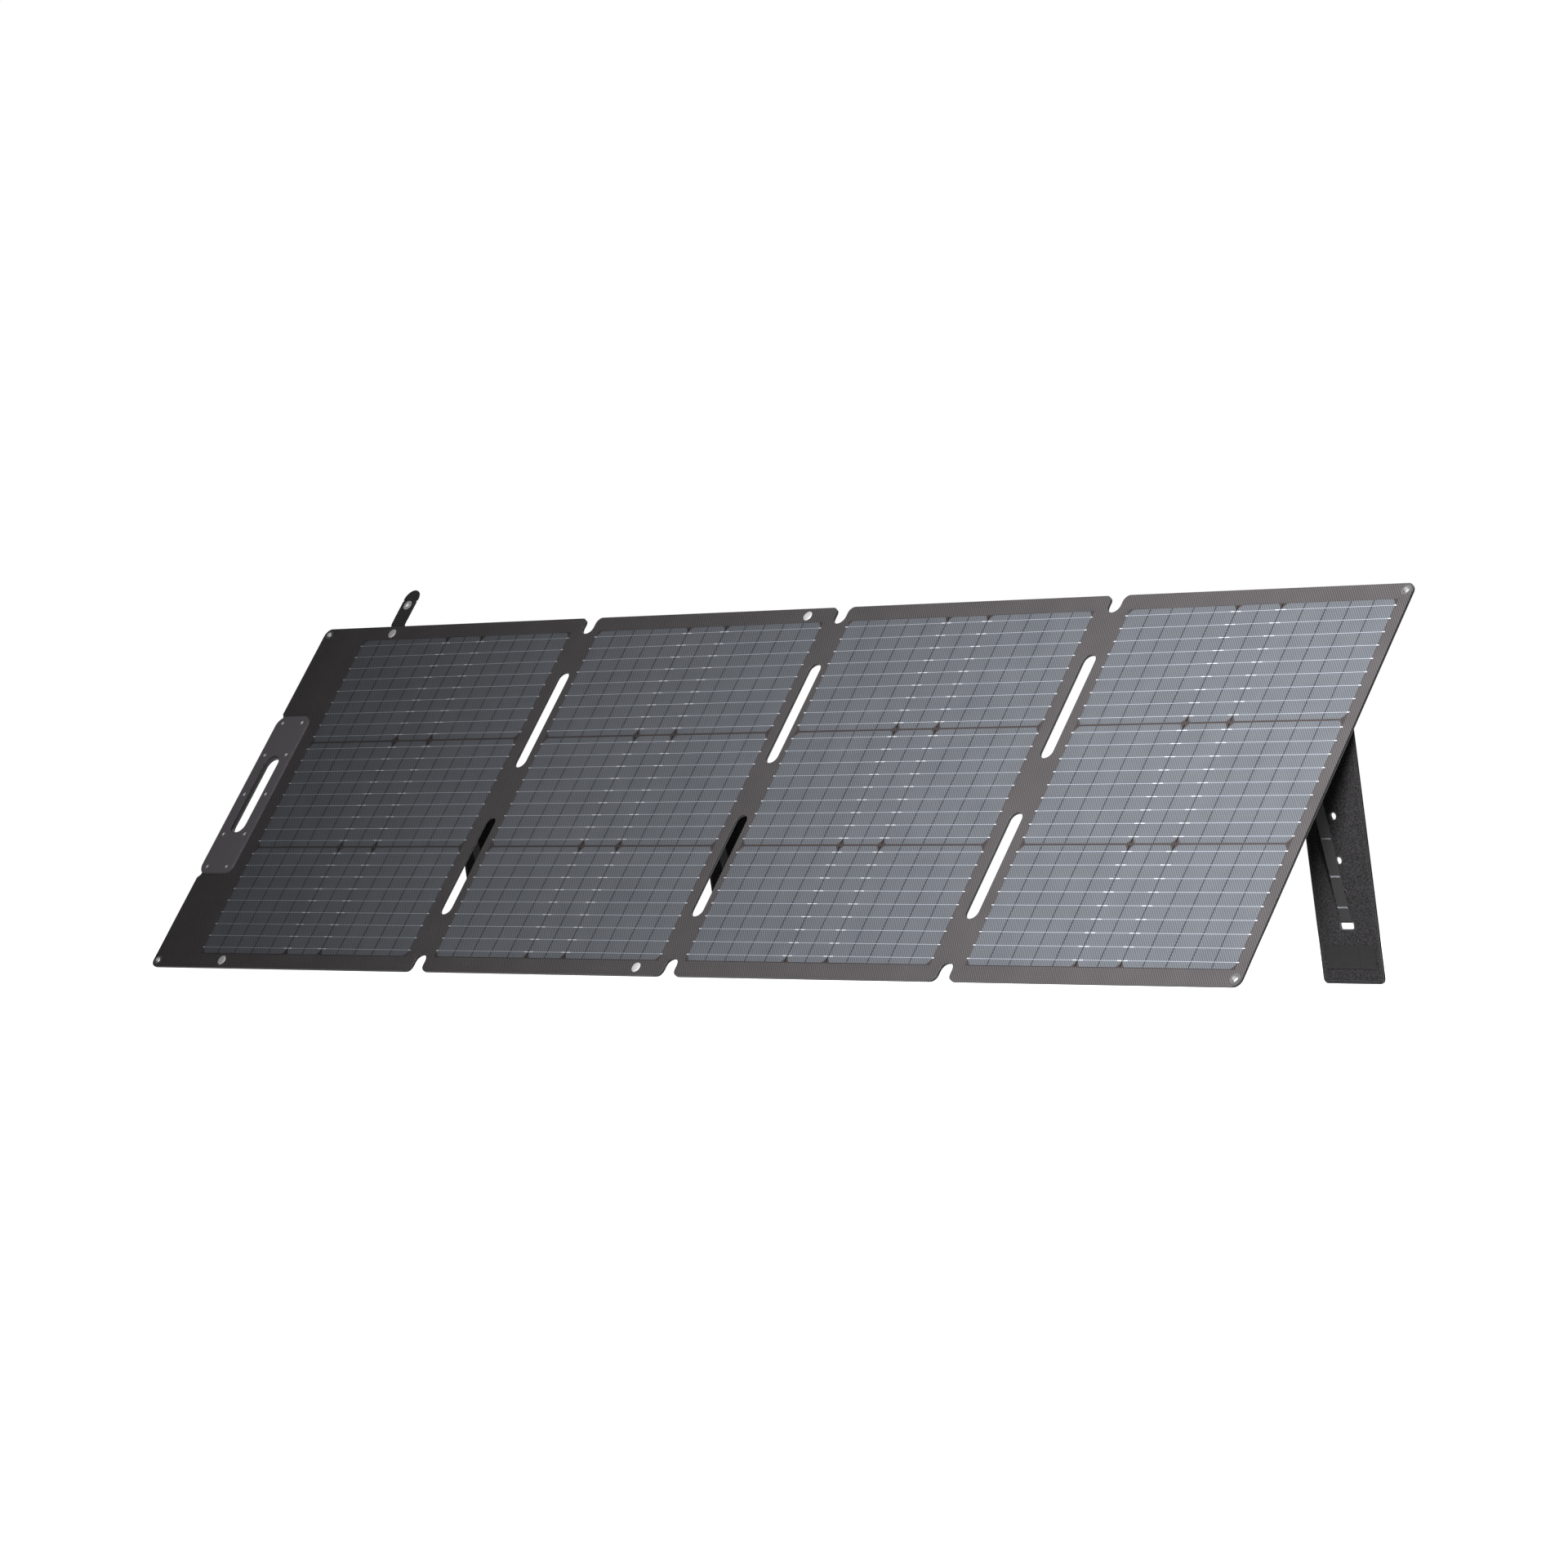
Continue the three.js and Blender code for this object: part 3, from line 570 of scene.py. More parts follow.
def tab_outlines(x):
    """Bright solder tabs: one at each end of every ribbon, and two at each bridged boundary."""
    left, right = ribbon_ends(x)
    spans = [(left, left + END_TAB_LENGTH), (right - END_TAB_LENGTH, right)]
    for boundary in BRIDGED:
        edge = x + boundary * STRIP_PITCH
        spans.append((edge - TAB_CLEAR - TAB_LENGTH, edge - TAB_CLEAR))
        spans.append((edge + TAB_CLEAR, edge + TAB_CLEAR + TAB_LENGTH))
    return [rectangle(a, v - TAB_HALF, b, v + TAB_HALF) for v in busbar_heights() for a, b in spans]


def panel_face(number):
    """The cells under the film, in thin layers that stand a little above one another."""
    body = f"panel_{number}"
    x = CELL_X[number]
    field = rectangle(x, CELL_V, x + CELL_W, row_base(ROWS) - ROW_GAP)
    layers = [
        ("encapsulant", [field], -0.4, 0.1, GAP_FILM, "laminate"),
        ("cell_strips", cell_strips(x), 0.1, 0.25, CELL_FILM, "cells"),
        ("strip_gaps", strip_gaps(x), 0.1, 0.2, STRIP_GAP, "laminate"),
        ("row_gaps", row_gaps(x), 0.1, 0.2, GAP_FILM, "laminate"),
        ("ribbons", ribbon_outlines(x), 0.1, 0.35, BUSBAR, "cells"),
        ("tabs", tab_outlines(x), 0.1, 0.45, TAB, "cells"),
    ]
    for name, outlines, back, front, material, slot in layers:
        layer = piece(f"{body}_{name}", prisms(outlines, back, front), material, body)
        if name == "cell_strips":
            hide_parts(f"{body}_cells")


def panel_ends(number):
    """Where one panel's back cloth starts and ends along the row."""
    left = 0.0 if number == 1 else HINGES[f"{number - 1}{number}"] + WEB_HALF
    right = LENGTH if number == 4 else HINGES[f"{number}{number + 1}"] - WEB_HALF
    return left, right


EYELET_INSET = 10.8
EYELET_HOLE_R = 6.3
SNAP_INSET = 12.5
SNAP_HOLE_R = 3.0
HANDLE_LOW, HANDLE_HIGH, HANDLE_INNER = 159.8, 438.2, 73.2
HANDLE_CLEAR = 0.4
STRAP_X = 154.5
STUD_X = 1019.5
CLOTH_INSET = 0.3
CORNER_R = 12.0
SEAM_INSET = 5.0
SEAM_START = 78.5


def back_outline(number):
    """The cloth behind one panel: rounded outer corners, and clear of the handle on panel 1."""
    left, right = panel_ends(number)
    low, high, r = CLOTH_INSET, HEIGHT - CLOTH_INSET, CORNER_R
    if number == 1:
        left += CLOTH_INSET
        above, below = HANDLE_HIGH + HANDLE_CLEAR, HANDLE_LOW - HANDLE_CLEAR
        return (
            [(right, low), (right, high)]
            + arc(left + r, high - r, r, 90, 180)
            + [(left, above), (HANDLE_INNER, above), (HANDLE_INNER, below), (left, below)]
            + arc(left + r, low + r, r, 180, 270)
        )
    if number == 4:
        right -= CLOTH_INSET
        return (
            [(left, high), (left, low)]
            + arc(right - r, low + r, r, -90, 0)
            + arc(right - r, high - r, r, 0, 90)
        )
    return rectangle(left, low, right, high)


def hole_pair(x, inset, radius, count):
    """Two holes near the lower and the upper edge."""
    return [circle(x, v, radius, count) for v in (inset, HEIGHT - inset)]


def back_holes(number):
    """Openings in one panel's cloth for its eyelets and snaps."""
    eyelets = (EYELET_INSET, EYELET_HOLE_R, 20)
    snaps = (SNAP_INSET, SNAP_HOLE_R, 16)
    if number == 1:
        return hole_pair(EYELET_INSET, *eyelets) + hole_pair(STRAP_X, *snaps)
    if number == 2:
        return hole_pair(STUD_X, *snaps)
    if number == 4:
        return hole_pair(LENGTH - EYELET_INSET, *eyelets)
    return []


def panel_back(number):
    """The felt cover and the seam sewn round it."""
    body = f"panel_{number}"
    left, right = panel_ends(number)
    mesh = plate(back_outline(number), back_holes(number), BACK_FACE, -BOARD_T - 0.1, 0.15)
    cover = piece(f"{body}_back_cloth", mesh, FELT, body)
    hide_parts(f"{body}_back")
    start = SEAM_START if number == 1 else left + SEAM_INSET
    seam = closed(rectangle(start, SEAM_INSET, right - SEAM_INSET, HEIGHT - SEAM_INSET))
    thread = prisms(stitches(seam), BACK_FACE - 0.22, BACK_FACE + 0.1)
    sewn = piece(f"{body}_back_seam", thread, THREAD, body)


# ---------- fabric hinges between the panels ----------

NOTCH_HALF = 11.0
NOTCH_DEEP = 27.3 - 11.0
SHOULDER_R = 10.0
SLOT_HALF = 81.5
SLOT_CENTRE = 123.5
# Where each fold's axis is, and how far to each side its web bends.
FOLD_AT = {"12": 587.0, "23": 1084.0, "34": 1583.0}
FOLD_ZONE = {"12": 12.0, "23": 7.5, "34": 5.0}


def web_outline(x, low, high):
    """A strip with a rounded notch in each end."""
    shoulder = NOTCH_HALF + SHOULDER_R
    r = SHOULDER_R
    bottom = (
        [(x - WEB_HALF, low)]
        + arc(x - shoulder, low + r, r, -90, 0)
        + arc(x, low + NOTCH_DEEP, NOTCH_HALF, 180, 0, 14)
        + arc(x + shoulder, low + r, r, 180, 270)
        + [(x + WEB_HALF, low)]
    )
    top = (
        [(x + WEB_HALF, high)]
        + arc(x + shoulder, high - r, r, 90, 180)
        + arc(x, high - NOTCH_DEEP, NOTCH_HALF, 0, -180, 14)
        + arc(x - shoulder, high - r, r, 0, 90)
        + [(x - WEB_HALF, high)]
    )
    return bottom + top


def web_slot(x, v):
    """A long opening in a web, its ends fully round."""
    r = NOTCH_HALF - 0.02
    return rounded(x - NOTCH_HALF, v - SLOT_HALF, x + NOTCH_HALF, v + SLOT_HALF, r, 8)


def hinge_web(name):
    """Film in front and cloth behind; both are cut across in a narrow zone round the fold."""
    x = HINGES[name]
    fold, zone = FOLD_AT[name], FOLD_ZONE[name]
    slots = [web_slot(x, HEIGHT / 2 + side * SLOT_CENTRE) for side in (-1, 1)]
    outline = web_outline(x, 0.5, HEIGHT)
    cuts = steps(fold - zone, fold + zone, zone / 8)
    layers = [
        ("film", FILM, "laminate", BACK_FACE + 1.1, 0.0),
        ("cloth", FELT, "felt", BACK_FACE, BACK_FACE + 1.05),
    ]
    for part, material, slot, back, front in layers:
        mesh = plate(outline, slots, back, front)
        slice_across(mesh, 0, cuts)
        web = piece(f"hinge_{name}_{part}", mesh, material)
        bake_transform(web)
    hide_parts(f"hinge_web_{name}")


# ---------- closure straps ----------

STRAP_W = 30.0
STRAP_T = 1.5
SOCKET_R = 4.4
NECK_HALF = 13.0
NECK_PAST_SOCKET = 8.5
TIP_PAST_NECK = 3.4
TIP_R = 15.5
# The axes of the straps' first folds, as (v, n).
TOP_HINGE = (HEIGHT + 1.4, BACK_FACE / 2)
LOW_HINGE = (-0.5, -3.0)


def strap_outline(start, fold, socket):
    """The tip's shape: straight sides, a shallow notch past the snap, and a round end."""
    w = STRAP_W / 2
    neck_at = fold + socket + NECK_PAST_SOCKET
    return (
        [(-w, start), (w, start), (w, neck_at - 2), (NECK_HALF, neck_at)]
        + arc(0, neck_at + TIP_PAST_NECK, TIP_R, -10, 190, 20)
        + [(-NECK_HALF, neck_at), (-w, neck_at - 2)]
    )


def strap_root(end, path):
    """The webbing from its seam behind panel 1 to the strap's first fold and on to the join."""
    mesh = ribbon(path, STRAP_X, STRAP_W, STRAP_T, 1.2, 1.0)
    root = piece(f"strap_{end}_root_webbing", mesh, STRAP)
    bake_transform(root)
    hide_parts(f"closure_strap_{end}_base")
    return root


def strap_end(end, place, rise, join, fold, socket):
    """The webbing from the join over the second fold, with the snap's hole and a round tip."""
    back, front = -rise - STRAP_T / 2, -rise + STRAP_T / 2
    hole = circle(0, fold + socket, SOCKET_R, 20)
    mesh = plate(strap_outline(join, fold, socket), [hole], back, front, 0.3)
    slice_across(mesh, 1, steps(fold - 3, fold + 3, 0.6))
    flap = piece(f"strap_{end}_end_webbing", mesh, STRAP, place=place)
    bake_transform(flap)
    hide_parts(f"closure_strap_{end}_tip")


def top_strap():
    """Stands up past the panel's upper edge."""
    v, n = TOP_HINGE
    fold = 23.8
    join = (0.5 + fold) / 2
    path = [
        (HEIGHT - 25, BACK_FACE - 0.95),
        (HEIGHT + 0.6, BACK_FACE - 0.95),
        (HEIGHT + 2.2, BACK_FACE - 0.3),
        (HEIGHT + 3.4, n - 0.7),
        (HEIGHT + 5.4, n),
        (v + join, n),
    ]
    root = strap_root("top", path)
    place = PLANE @ Matrix.Translation((STRAP_X, v, n))
    strap_end("top", place, 0.0, join, fold, 13.9)


def bottom_strap():
    """Lies back on the ground behind the panel's lower edge."""
    v, n = LOW_HINGE
    fold, rise = 24.9, 2.1
    join = (3.3 + fold) / 2
    c, s = math.cos(TILT), math.sin(TILT)

    def lying(along):
        """A point of the strap on the ground, in the panel's (v, n)."""
        return (v + along * c + rise * s, n - along * s + rise * c)

    path = [
        (26.0, BACK_FACE - 0.85),
        (6.5, BACK_FACE - 0.85),
        (3.5, BACK_FACE - 1.0),
        lying(4.6),
        lying(join),
    ]
    root = strap_root("bottom", path)
    place = (
        PLANE
        @ Matrix.Translation((STRAP_X, v, n))
        @ Matrix.Rotation(-TILT, 4, "X")
        @ Matrix.Rotation(math.pi, 4, "Y")
    )
    strap_end("bottom", place, rise, join, fold, 15.1)


# ---------- legs ----------

LEG_X = {1: 383.0, 2: 886.0, 4: 1967.0}
LEG_W = 98.0
LEG_LENGTH = 342.0
LEG_T = 2.5
LEG_OFF = 1.0
LEG_HINGE_V = 405.0
LEG_SLOT = 73.6
LEG_HOLES = (115.0, 156.0, 212.0)
LEG_SLOT_HALF = 4.5
LEG_MIDDLE = LEG_W / 2
LEG_FRONT, LEG_REAR = -LEG_OFF, -LEG_OFF - LEG_T
LEG_CORNER_R = 7


def leg_spread():
    """How far a leg stands off the panel: its foot is on the ground."""
    height = at(0, LEG_HINGE_V, BACK_FACE).z / MM
    reach = math.hypot(LEG_LENGTH, LEG_OFF)
    lean = math.acos(height / reach) - math.atan(LEG_OFF / LEG_LENGTH)
    return math.pi / 2 - TILT + lean


SPREAD = leg_spread()


def leg_frame(number):
    """The leg's own frame: y up along it to its hinge, z towards the panel."""
    hinge = (LEG_X[number] + LEG_MIDDLE, LEG_HINGE_V, BACK_FACE)
    return PLANE @ Matrix.Translation(hinge) @ Matrix.Rotation(SPREAD, 4, "X")


def leg_point(y, z):
    """A point of the leg's frame as (v, n) in the panel's frame."""
    c, s = math.cos(SPREAD), math.sin(SPREAD)
    return (LEG_HINGE_V + y * c - z * s, BACK_FACE + y * s + z * c)


# The legs' felt and twill are darker copies of the back felt and the tether's twill: painted shade
# for the shade under the panel.
LEG_FELT_PAINTED_SHADE = felt(
    "leg_felt_painted_shade", (0.0015, 0.0015, 0.0018, 1), (0.036, 0.034, 0.036, 1), TILT + SPREAD, sheen=0.0
)
LEG_TWILL_PAINTED_SHADE = webbing(
    "leg_twill_painted_shade", TILT + SPREAD, (0.003, 0.003, 0.003, 1), (0.022, 0.022, 0.023, 1), 2.4, 1.3
)
HOOK = webbing("hook_pile", TILT + SPREAD, (0.001, 0.001, 0.001, 1), (0.004, 0.004, 0.004, 1), 1.5)


def leg_outline(inset):
    """The leg's outline in its own frame, drawn in by an inset."""
    w, top = LEG_MIDDLE - inset, -0.5 - inset
    x, y, r = LEG_MIDDLE - LEG_CORNER_R, -LEG_LENGTH + LEG_CORNER_R, LEG_CORNER_R - inset
    return arc(x, y, r, -90, 0) + [(w, top), (-w, top)] + arc(-x, y, r, 180, 270)


def leg_slot(grow):
    """The tether's slot in the leg, grown by an amount."""
    v = -LEG_LENGTH + LEG_SLOT
    w, h = 11 + grow, LEG_SLOT_HALF + grow
    return w, v - h, v + h


def leg_board(number, place):
    """A felt-covered board with a slot and three holes, and black tape bound round its edge."""
    body = f"kickstand_{number}"
    w, low, high = leg_slot(0)
    holes = [rounded(-w, low, w, high, 3)]
    holes += [circle(0, -LEG_LENGTH + up, 4.5) for up in LEG_HOLES]
    mesh = plate(leg_outline(0), holes, LEG_REAR, LEG_FRONT, 0.55)
    board = piece(f"leg_{number}_felt", mesh, LEG_FELT_PAINTED_SHADE, body, place)
    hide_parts(f"leg_{number}")
    rim = plate(leg_outline(0), [leg_outline(1.4)], LEG_REAR - 0.12, LEG_FRONT + 0.12, 0.1)
    piece(f"leg_{number}_edge_binding", rim, EDGE_TAPE, body, place)


def leg_rims(number, place):
    """Plastic rings in the three holes and round the slot."""
    body = f"kickstand_{number}"
    for i, up in enumerate(LEG_HOLES):
        v = -LEG_LENGTH + up
        ring = plate(circle(0, v, 6.4), [circle(0, v, 4.4)], LEG_REAR - 0.3, LEG_FRONT + 0.3, 0.25)
        piece(f"leg_{number}_hole_rim_{i + 1}", ring, BLACK, body, place)
    (w, low, high), (hole_w, hole_low, hole_high) = leg_slot(1.4), leg_slot(-0.1)
    outer = rounded(-w, low, w, high, 4.2)
    inner = rounded(-hole_w, hole_low, hole_w, hole_high, 2.9)
    ring = plate(outer, [inner], LEG_REAR - 0.25, LEG_FRONT + 0.25, 0.2)
    piece(f"leg_{number}_slot_rim", ring, BLACK, body, place)


def leg_seams(number, place):
    """Stitching round both faces."""
    w, foot = LEG_MIDDLE, -LEG_LENGTH
    seam = closed(rectangle(-w + 4, foot + 4, w - 4, -4))
    for face, name in ((LEG_FRONT + 0.12, "front"), (LEG_REAR - 0.12, "rear")):
        thread = prisms(stitches(seam, 3.0, 4.6), face - 0.12, face + 0.12)
        name = f"leg_{number}_{name}_seam"
        piece(name, thread, THREAD, f"kickstand_{number}", place)


def leg_patches(number, place):
    """Hook patch on the leg in three tapes, and the loop patch it presses on when shut."""
    low = -LEG_LENGTH + 19
    half, gap = 39.75, 0.15
    edges = [-half, -half + 2 * half * 0.29, -half + 2 * half * 0.68, half]
    tapes = [rounded(a + gap, low, b - gap, low + 30, 0.8, 3) for a, b in zip(edges, edges[1:])]
    mesh = prisms(tapes, LEG_FRONT + 0.1, LEG_FRONT + 0.7)
    hook = piece(f"leg_{number}_hook_tapes", mesh, HOOK, f"kickstand_{number}", place)
    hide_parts(f"leg_{number}_hook_patch")
    x = LEG_X[number] + LEG_MIDDLE
    v = LEG_HINGE_V + low
    patch = plate(rounded(x - 41, v - 3, x + 41, v + 33, 2), [], BACK_FACE - 0.25, BACK_FACE + 0.1)
    piece(f"leg_{number}_loop_patch", patch, LOOP, f"panel_{number}")


FOLD_TAPE_T = 0.18


def leg_tape(number):
    """The felt hinge tape: sewn to the panel above the leg, and sewn behind the leg."""
    x = LEG_X[number] + LEG_MIDDLE
    behind = LEG_REAR - 0.12
    flat = BACK_FACE - 0.65
    path = [
        (LEG_HINGE_V + 42, flat),
        (LEG_HINGE_V + 3.0, flat),
        leg_point(2.2, behind + 0.6),
        leg_point(-2.0, behind),
        leg_point(-26, behind),
    ]
    mesh = ribbon(path, x, LEG_W, FOLD_TAPE_T, 1.8, 2.0)
    tape = piece(f"leg_{number}_fold_tape", mesh, FELT)
    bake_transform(tape)
    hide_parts(f"leg_{number}_hinge_tape")
    left, right = x - LEG_MIDDLE + 4, x + LEG_MIDDLE - 4
    seam = closed(rectangle(left, LEG_HINGE_V + 9, right, LEG_HINGE_V + 38))
    thread = prisms(stitches(seam, 3.0, 4.6), flat - 0.55, flat)
    piece(f"leg_{number}_fold_tape_seam", thread, THREAD, f"panel_{number}")


def cross_rows(place_of, rows, half):
    """Short rows of slanting stitches across a tape, as flat bars on its face."""
    verts, faces = [], []
    for row in rows:
        for i in range(7):
            x = -half + 2.2 + i * (2 * half - 4.4) / 6
            corners = [
                (x - 0.9, row - 0.9),
                (x - 0.5, row - 1.2),
                (x + 0.9, row + 0.9),
                (x + 0.5, row + 1.2),
            ]
            base = len(verts)
            for lift in (-0.05, 0.12):
                verts += [place_of(cx, cy, lift) for cx, cy in corners]
            faces.append([base + k for k in (3, 2, 1, 0)])
            faces.append([base + 4 + k for k in range(4)])
            for k in range(4):
                m = (k + 1) % 4
                faces.append([base + k, base + m, base + 4 + m, base + 4 + k])
    mesh = bpy.data.meshes.new("rows")
    mesh.from_pydata(verts, [], faces)
    weld(mesh, 0.00001)
    return mesh


TETHER_W = 18.0
TETHER_T = 0.9
LOOP_T = 0.24
TETHER_V = 352.0
SLOT_TOP = -LEG_LENGTH + LEG_SLOT + LEG_SLOT_HALF
IN_FRONT = LEG_FRONT + TETHER_T / 2 + 0.05
SEWN_AT = BACK_FACE - TETHER_T / 2 - 0.05
TETHER_TOP = Vector((TETHER_V, SEWN_AT - 0.3))
TETHER_FOOT = Vector(leg_point(SLOT_TOP + 1.5, IN_FRONT + 0.4))
TETHER_SPAN = (TETHER_FOOT - TETHER_TOP).length
SEWN_SHARE = 0.035
RUN_START = 0.02


def press_on_leg(obj):
    """Gives a piece on the leg its own copy of its mesh."""
    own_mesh(obj)


def tether_sewn_end(number):
    """The patch sewn to the panel, with the first few millimetres of the free tape."""
    x = LEG_X[number] + LEG_MIDDLE
    lip = TETHER_TOP.lerp(TETHER_FOOT, SEWN_SHARE)
    path = [(TETHER_V + 30, SEWN_AT), (TETHER_V + 1, SEWN_AT), tuple(lip)]
    mesh = ribbon(path, x, TETHER_W, TETHER_T)
    patch = piece(f"leg_{number}_tether_sewn_end", mesh, TWILL, f"panel_{number}")
    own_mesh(patch)


def tether_run(number):
    """The straight tape from the panel down to the leg's slot."""
    x = LEG_X[number] + LEG_MIDDLE
    path = [tuple(TETHER_TOP.lerp(TETHER_FOOT, RUN_START)), tuple(TETHER_FOOT)]
    mesh = ribbon(path, x, TETHER_W - 0.3, TETHER_T - 0.1)
    run = piece(f"leg_{number}_tether_run", mesh, LEG_TWILL_PAINTED_SHADE, f"kickstand_{number}")
    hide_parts(f"leg_{number}_tether")
    press_on_leg(run)


def tether_loop(number):
    """The tape's end: through the slot and up behind the leg to its first hole."""
    through = SLOT_TOP - TETHER_T / 2 - 0.3
    behind = LEG_REAR - LOOP_T / 2 - 0.04
    path = [
        leg_point(SLOT_TOP + 1.8, IN_FRONT),
        leg_point(through, IN_FRONT - 0.2),
        leg_point(through, behind + 0.2),
        leg_point(SLOT_TOP + 4, behind),
        leg_point(-LEG_LENGTH + LEG_HOLES[0] + 8, behind),
    ]
    mesh = ribbon(path, LEG_X[number] + LEG_MIDDLE, TETHER_W, LOOP_T, 0.9, 2.0)
    loop = piece(f"leg_{number}_tether_loop", mesh, LEG_TWILL_PAINTED_SHADE, f"kickstand_{number}")


def tether_rows(number):
    """Four rows of pale stitches across the tape's run."""
    x = LEG_X[number] + LEG_MIDDLE
    along = (TETHER_FOOT - TETHER_TOP).normalized()
    side = Vector((-along.y, along.x))
    away = side if side.y < 0 else -side

    def on_run(sx, sy, lift):
        p = TETHER_TOP + along * sy - away * (TETHER_T / 2 + lift)
        return (x + sx, p.x, p.y)

    rows = [TETHER_SPAN * share for share in (0.30, 0.52, 0.74, 0.92)]
    mesh = cross_rows(on_run, rows, TETHER_W / 2)
    thread = piece(f"leg_{number}_tether_rows", mesh, BUSBAR, f"kickstand_{number}")
    press_on_leg(thread)


def leg(number):
    place = leg_frame(number)
    leg_board(number, place)
    leg_rims(number, place)
    leg_seams(number, place)
    leg_patches(number, place)
    leg_tape(number)
    tether_sewn_end(number)
    tether_run(number)
    tether_loop(number)
    tether_rows(number)


# ---------- cable pouch and junction box ----------

POUCH_X, POUCH_V = 618.0, 196.0
POUCH_W, POUCH_H, POUCH_T = 232.0, 196.0, 13.0
POUCH_R = 12.0
RIM_T = 1.1
FOOT = BACK_FACE - 0.3
ZIP_V = POUCH_V + POUCH_H - 25
ZIP_X = POUCH_X + 16
ZIP_LENGTH = 200.0
ZIP_HALF = 6
TOOTH_PITCH = 1.9
WELT_AT = 8.4


def pouch_depth(x, v):
    """How far the pouch stands off the panel: full in the middle, drawn in at its rim."""
    rim = min(x - POUCH_X, POUCH_X + POUCH_W - x, v - POUCH_V, POUCH_V + POUCH_H - v)
    rise = 1 - (1 - min(max(rim - 5, 0) / 24, 1)) ** 3
    beside_zip = min(abs(v - ZIP_V) / 16, 1)
    crease = 0.5 * math.sin(x / 17 + v / 41) + 0.35 * math.sin(v / 13 - x / 37)
    ripple = 0.9 * math.sin(x / 6.1) * math.exp(-((rim - 9) ** 2) / 30)
    soft = (crease - 0.85) * beside_zip + ripple * beside_zip * 0.7
    return RIM_T + max((POUCH_T - RIM_T) * rise + soft * rise, 0)


def pull_into_corner(x, v):
    """Moves a grid point near a corner onto the pouch's rounded outline."""
    cx, cv = POUCH_X + POUCH_W / 2, POUCH_V + POUCH_H / 2
    straight_x, straight_v = POUCH_W / 2 - POUCH_R, POUCH_H / 2 - POUCH_R
    dx, dv = x - cx, v - cv
    kx, kv = abs(dx) - straight_x, abs(dv) - straight_v
    if kx > 0 and kv > 0:
        pull = max(kx, kv) / math.hypot(kx, kv)
        x = cx + math.copysign(straight_x + kx * pull, dx)
        v = cv + math.copysign(straight_v + kv * pull, dv)
    return (x, v)


def pouch_mesh():
    """A flat back and a sagging front on one grid, joined round the rim."""
    columns, rows = 78, 66
    across, layer = columns + 1, (columns + 1) * (rows + 1)
    verts, faces = [], []
    for side in (0, 1):
        for j in range(rows + 1):
            for i in range(columns + 1):
                x = POUCH_X + POUCH_W * i / columns
                v = POUCH_V + POUCH_H * j / rows
                depth = pouch_depth(x, v) if side else 0.0
                verts.append(pull_into_corner(x, v) + (FOOT - depth,))
    for j in range(rows):
        for i in range(columns):
            a = j * across + i
            quad = [a, a + 1, a + across + 1, a + across]
            faces.append(quad)
            faces.append([layer + k for k in reversed(quad)])
    border = (
        [i for i in range(columns)]
        + [j * across + columns for j in range(rows)]
        + [rows * across + i for i in range(columns, 0, -1)]
        + [j * across for j in range(rows, 0, -1)]
    )
    for a, b in zip(border, border[1:] + border[:1]):
        faces.append([b, a, layer + a, layer + b])
    mesh = bpy.data.meshes.new("pouch")
    mesh.from_pydata(verts, [], faces)
    weld(mesh, 0.0001)
    for face in mesh.polygons:
        face.use_smooth = True
    return mesh


def pouch_box(inset):
    """The pouch's low and high corners, drawn in by an inset."""
    return (
        POUCH_X + inset,
        POUCH_V + inset,
        POUCH_X + POUCH_W - inset,
        POUCH_V + POUCH_H - inset,
    )


def pouch():
    """A soft flat bag, closed at the back, with a bound and sewn rim."""
    bag = piece("pouch_bag", pouch_mesh(), FELT, "panel_2")
    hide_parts("cable_pouch")
    outline = rounded(*pouch_box(0.3), POUCH_R)
    hollow = rounded(*pouch_box(3), POUCH_R - 3)
    binding = plate(outline, [hollow], FOOT - 1.9, FOOT, 0.6)
    piece("pouch_binding", binding, EDGE_TAPE, "panel_2")
    seam = closed(rectangle(*pouch_box(5.5)))
    thread = prisms(stitches(seam, 3.0, 4.6), FOOT - 1.6, FOOT - 0.8)
    piece("pouch_seam", thread, THREAD, "panel_2")


def zip_fastener():
    """Tape, teeth, and a welt along each side."""
    face = FOOT - POUCH_T - 0.15
    end = ZIP_X + ZIP_LENGTH
    outline = rounded(ZIP_X, ZIP_V - ZIP_HALF, end, ZIP_V + ZIP_HALF, 1, 3)
    band = plate(outline, [], face - 0.5, face)
    tape = piece("pouch_zip_tape", band, STRAP, "panel_2")
    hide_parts("pouch_zip")
    outlines = []
    for i in range(int((ZIP_LENGTH - 12) / TOOTH_PITCH)):
        x = ZIP_X + 6 + i * TOOTH_PITCH
        low = ZIP_V - 1.9 + (0.5 if i % 2 else 0)
        outlines.append(rectangle(x, low, x + 1.1, low + 3.3))
    mesh = prisms(outlines, face - 1.0, face - 0.4)
    teeth = piece("pouch_zip_teeth", mesh, DARK_STEEL, "panel_2")
    welts = [
        rounded(ZIP_X - 5, middle - 1.3, end + 5, middle + 1.3, 1, 3)
        for middle in (ZIP_V - WELT_AT, ZIP_V + WELT_AT)
    ]
    piece("pouch_zip_welts", prisms(welts, face - 0.9, face + 2.5), FELT, "panel_2")


LID_X, LID_V = 640, 430


def junction_lid():
    """Screw heads in the lid's corners, and ribs across its middle."""
    face = FOOT - 11 - 0.3 - 3
    heads = [circle(LID_X + x, LID_V + v, 2.6, 16) for x in (8, 84) for v in (8, 56)]
    screws = prisms(heads, face - 0.5, face + 1)
    piece("junction_lid_screws", screws, DARK_STEEL, "panel_2")
    starts = [LID_X + 20 + i * 9 for i in range(6)]
    bars = [rectangle(x, LID_V + 14, x + 3, LID_V + 50) for x in starts]
    ribs = prisms(bars, face - 0.5, face + 1)
    piece("junction_lid_ribs", ribs, BLACK, "panel_2")


# ---------- finishes on the CAD pieces that show ----------


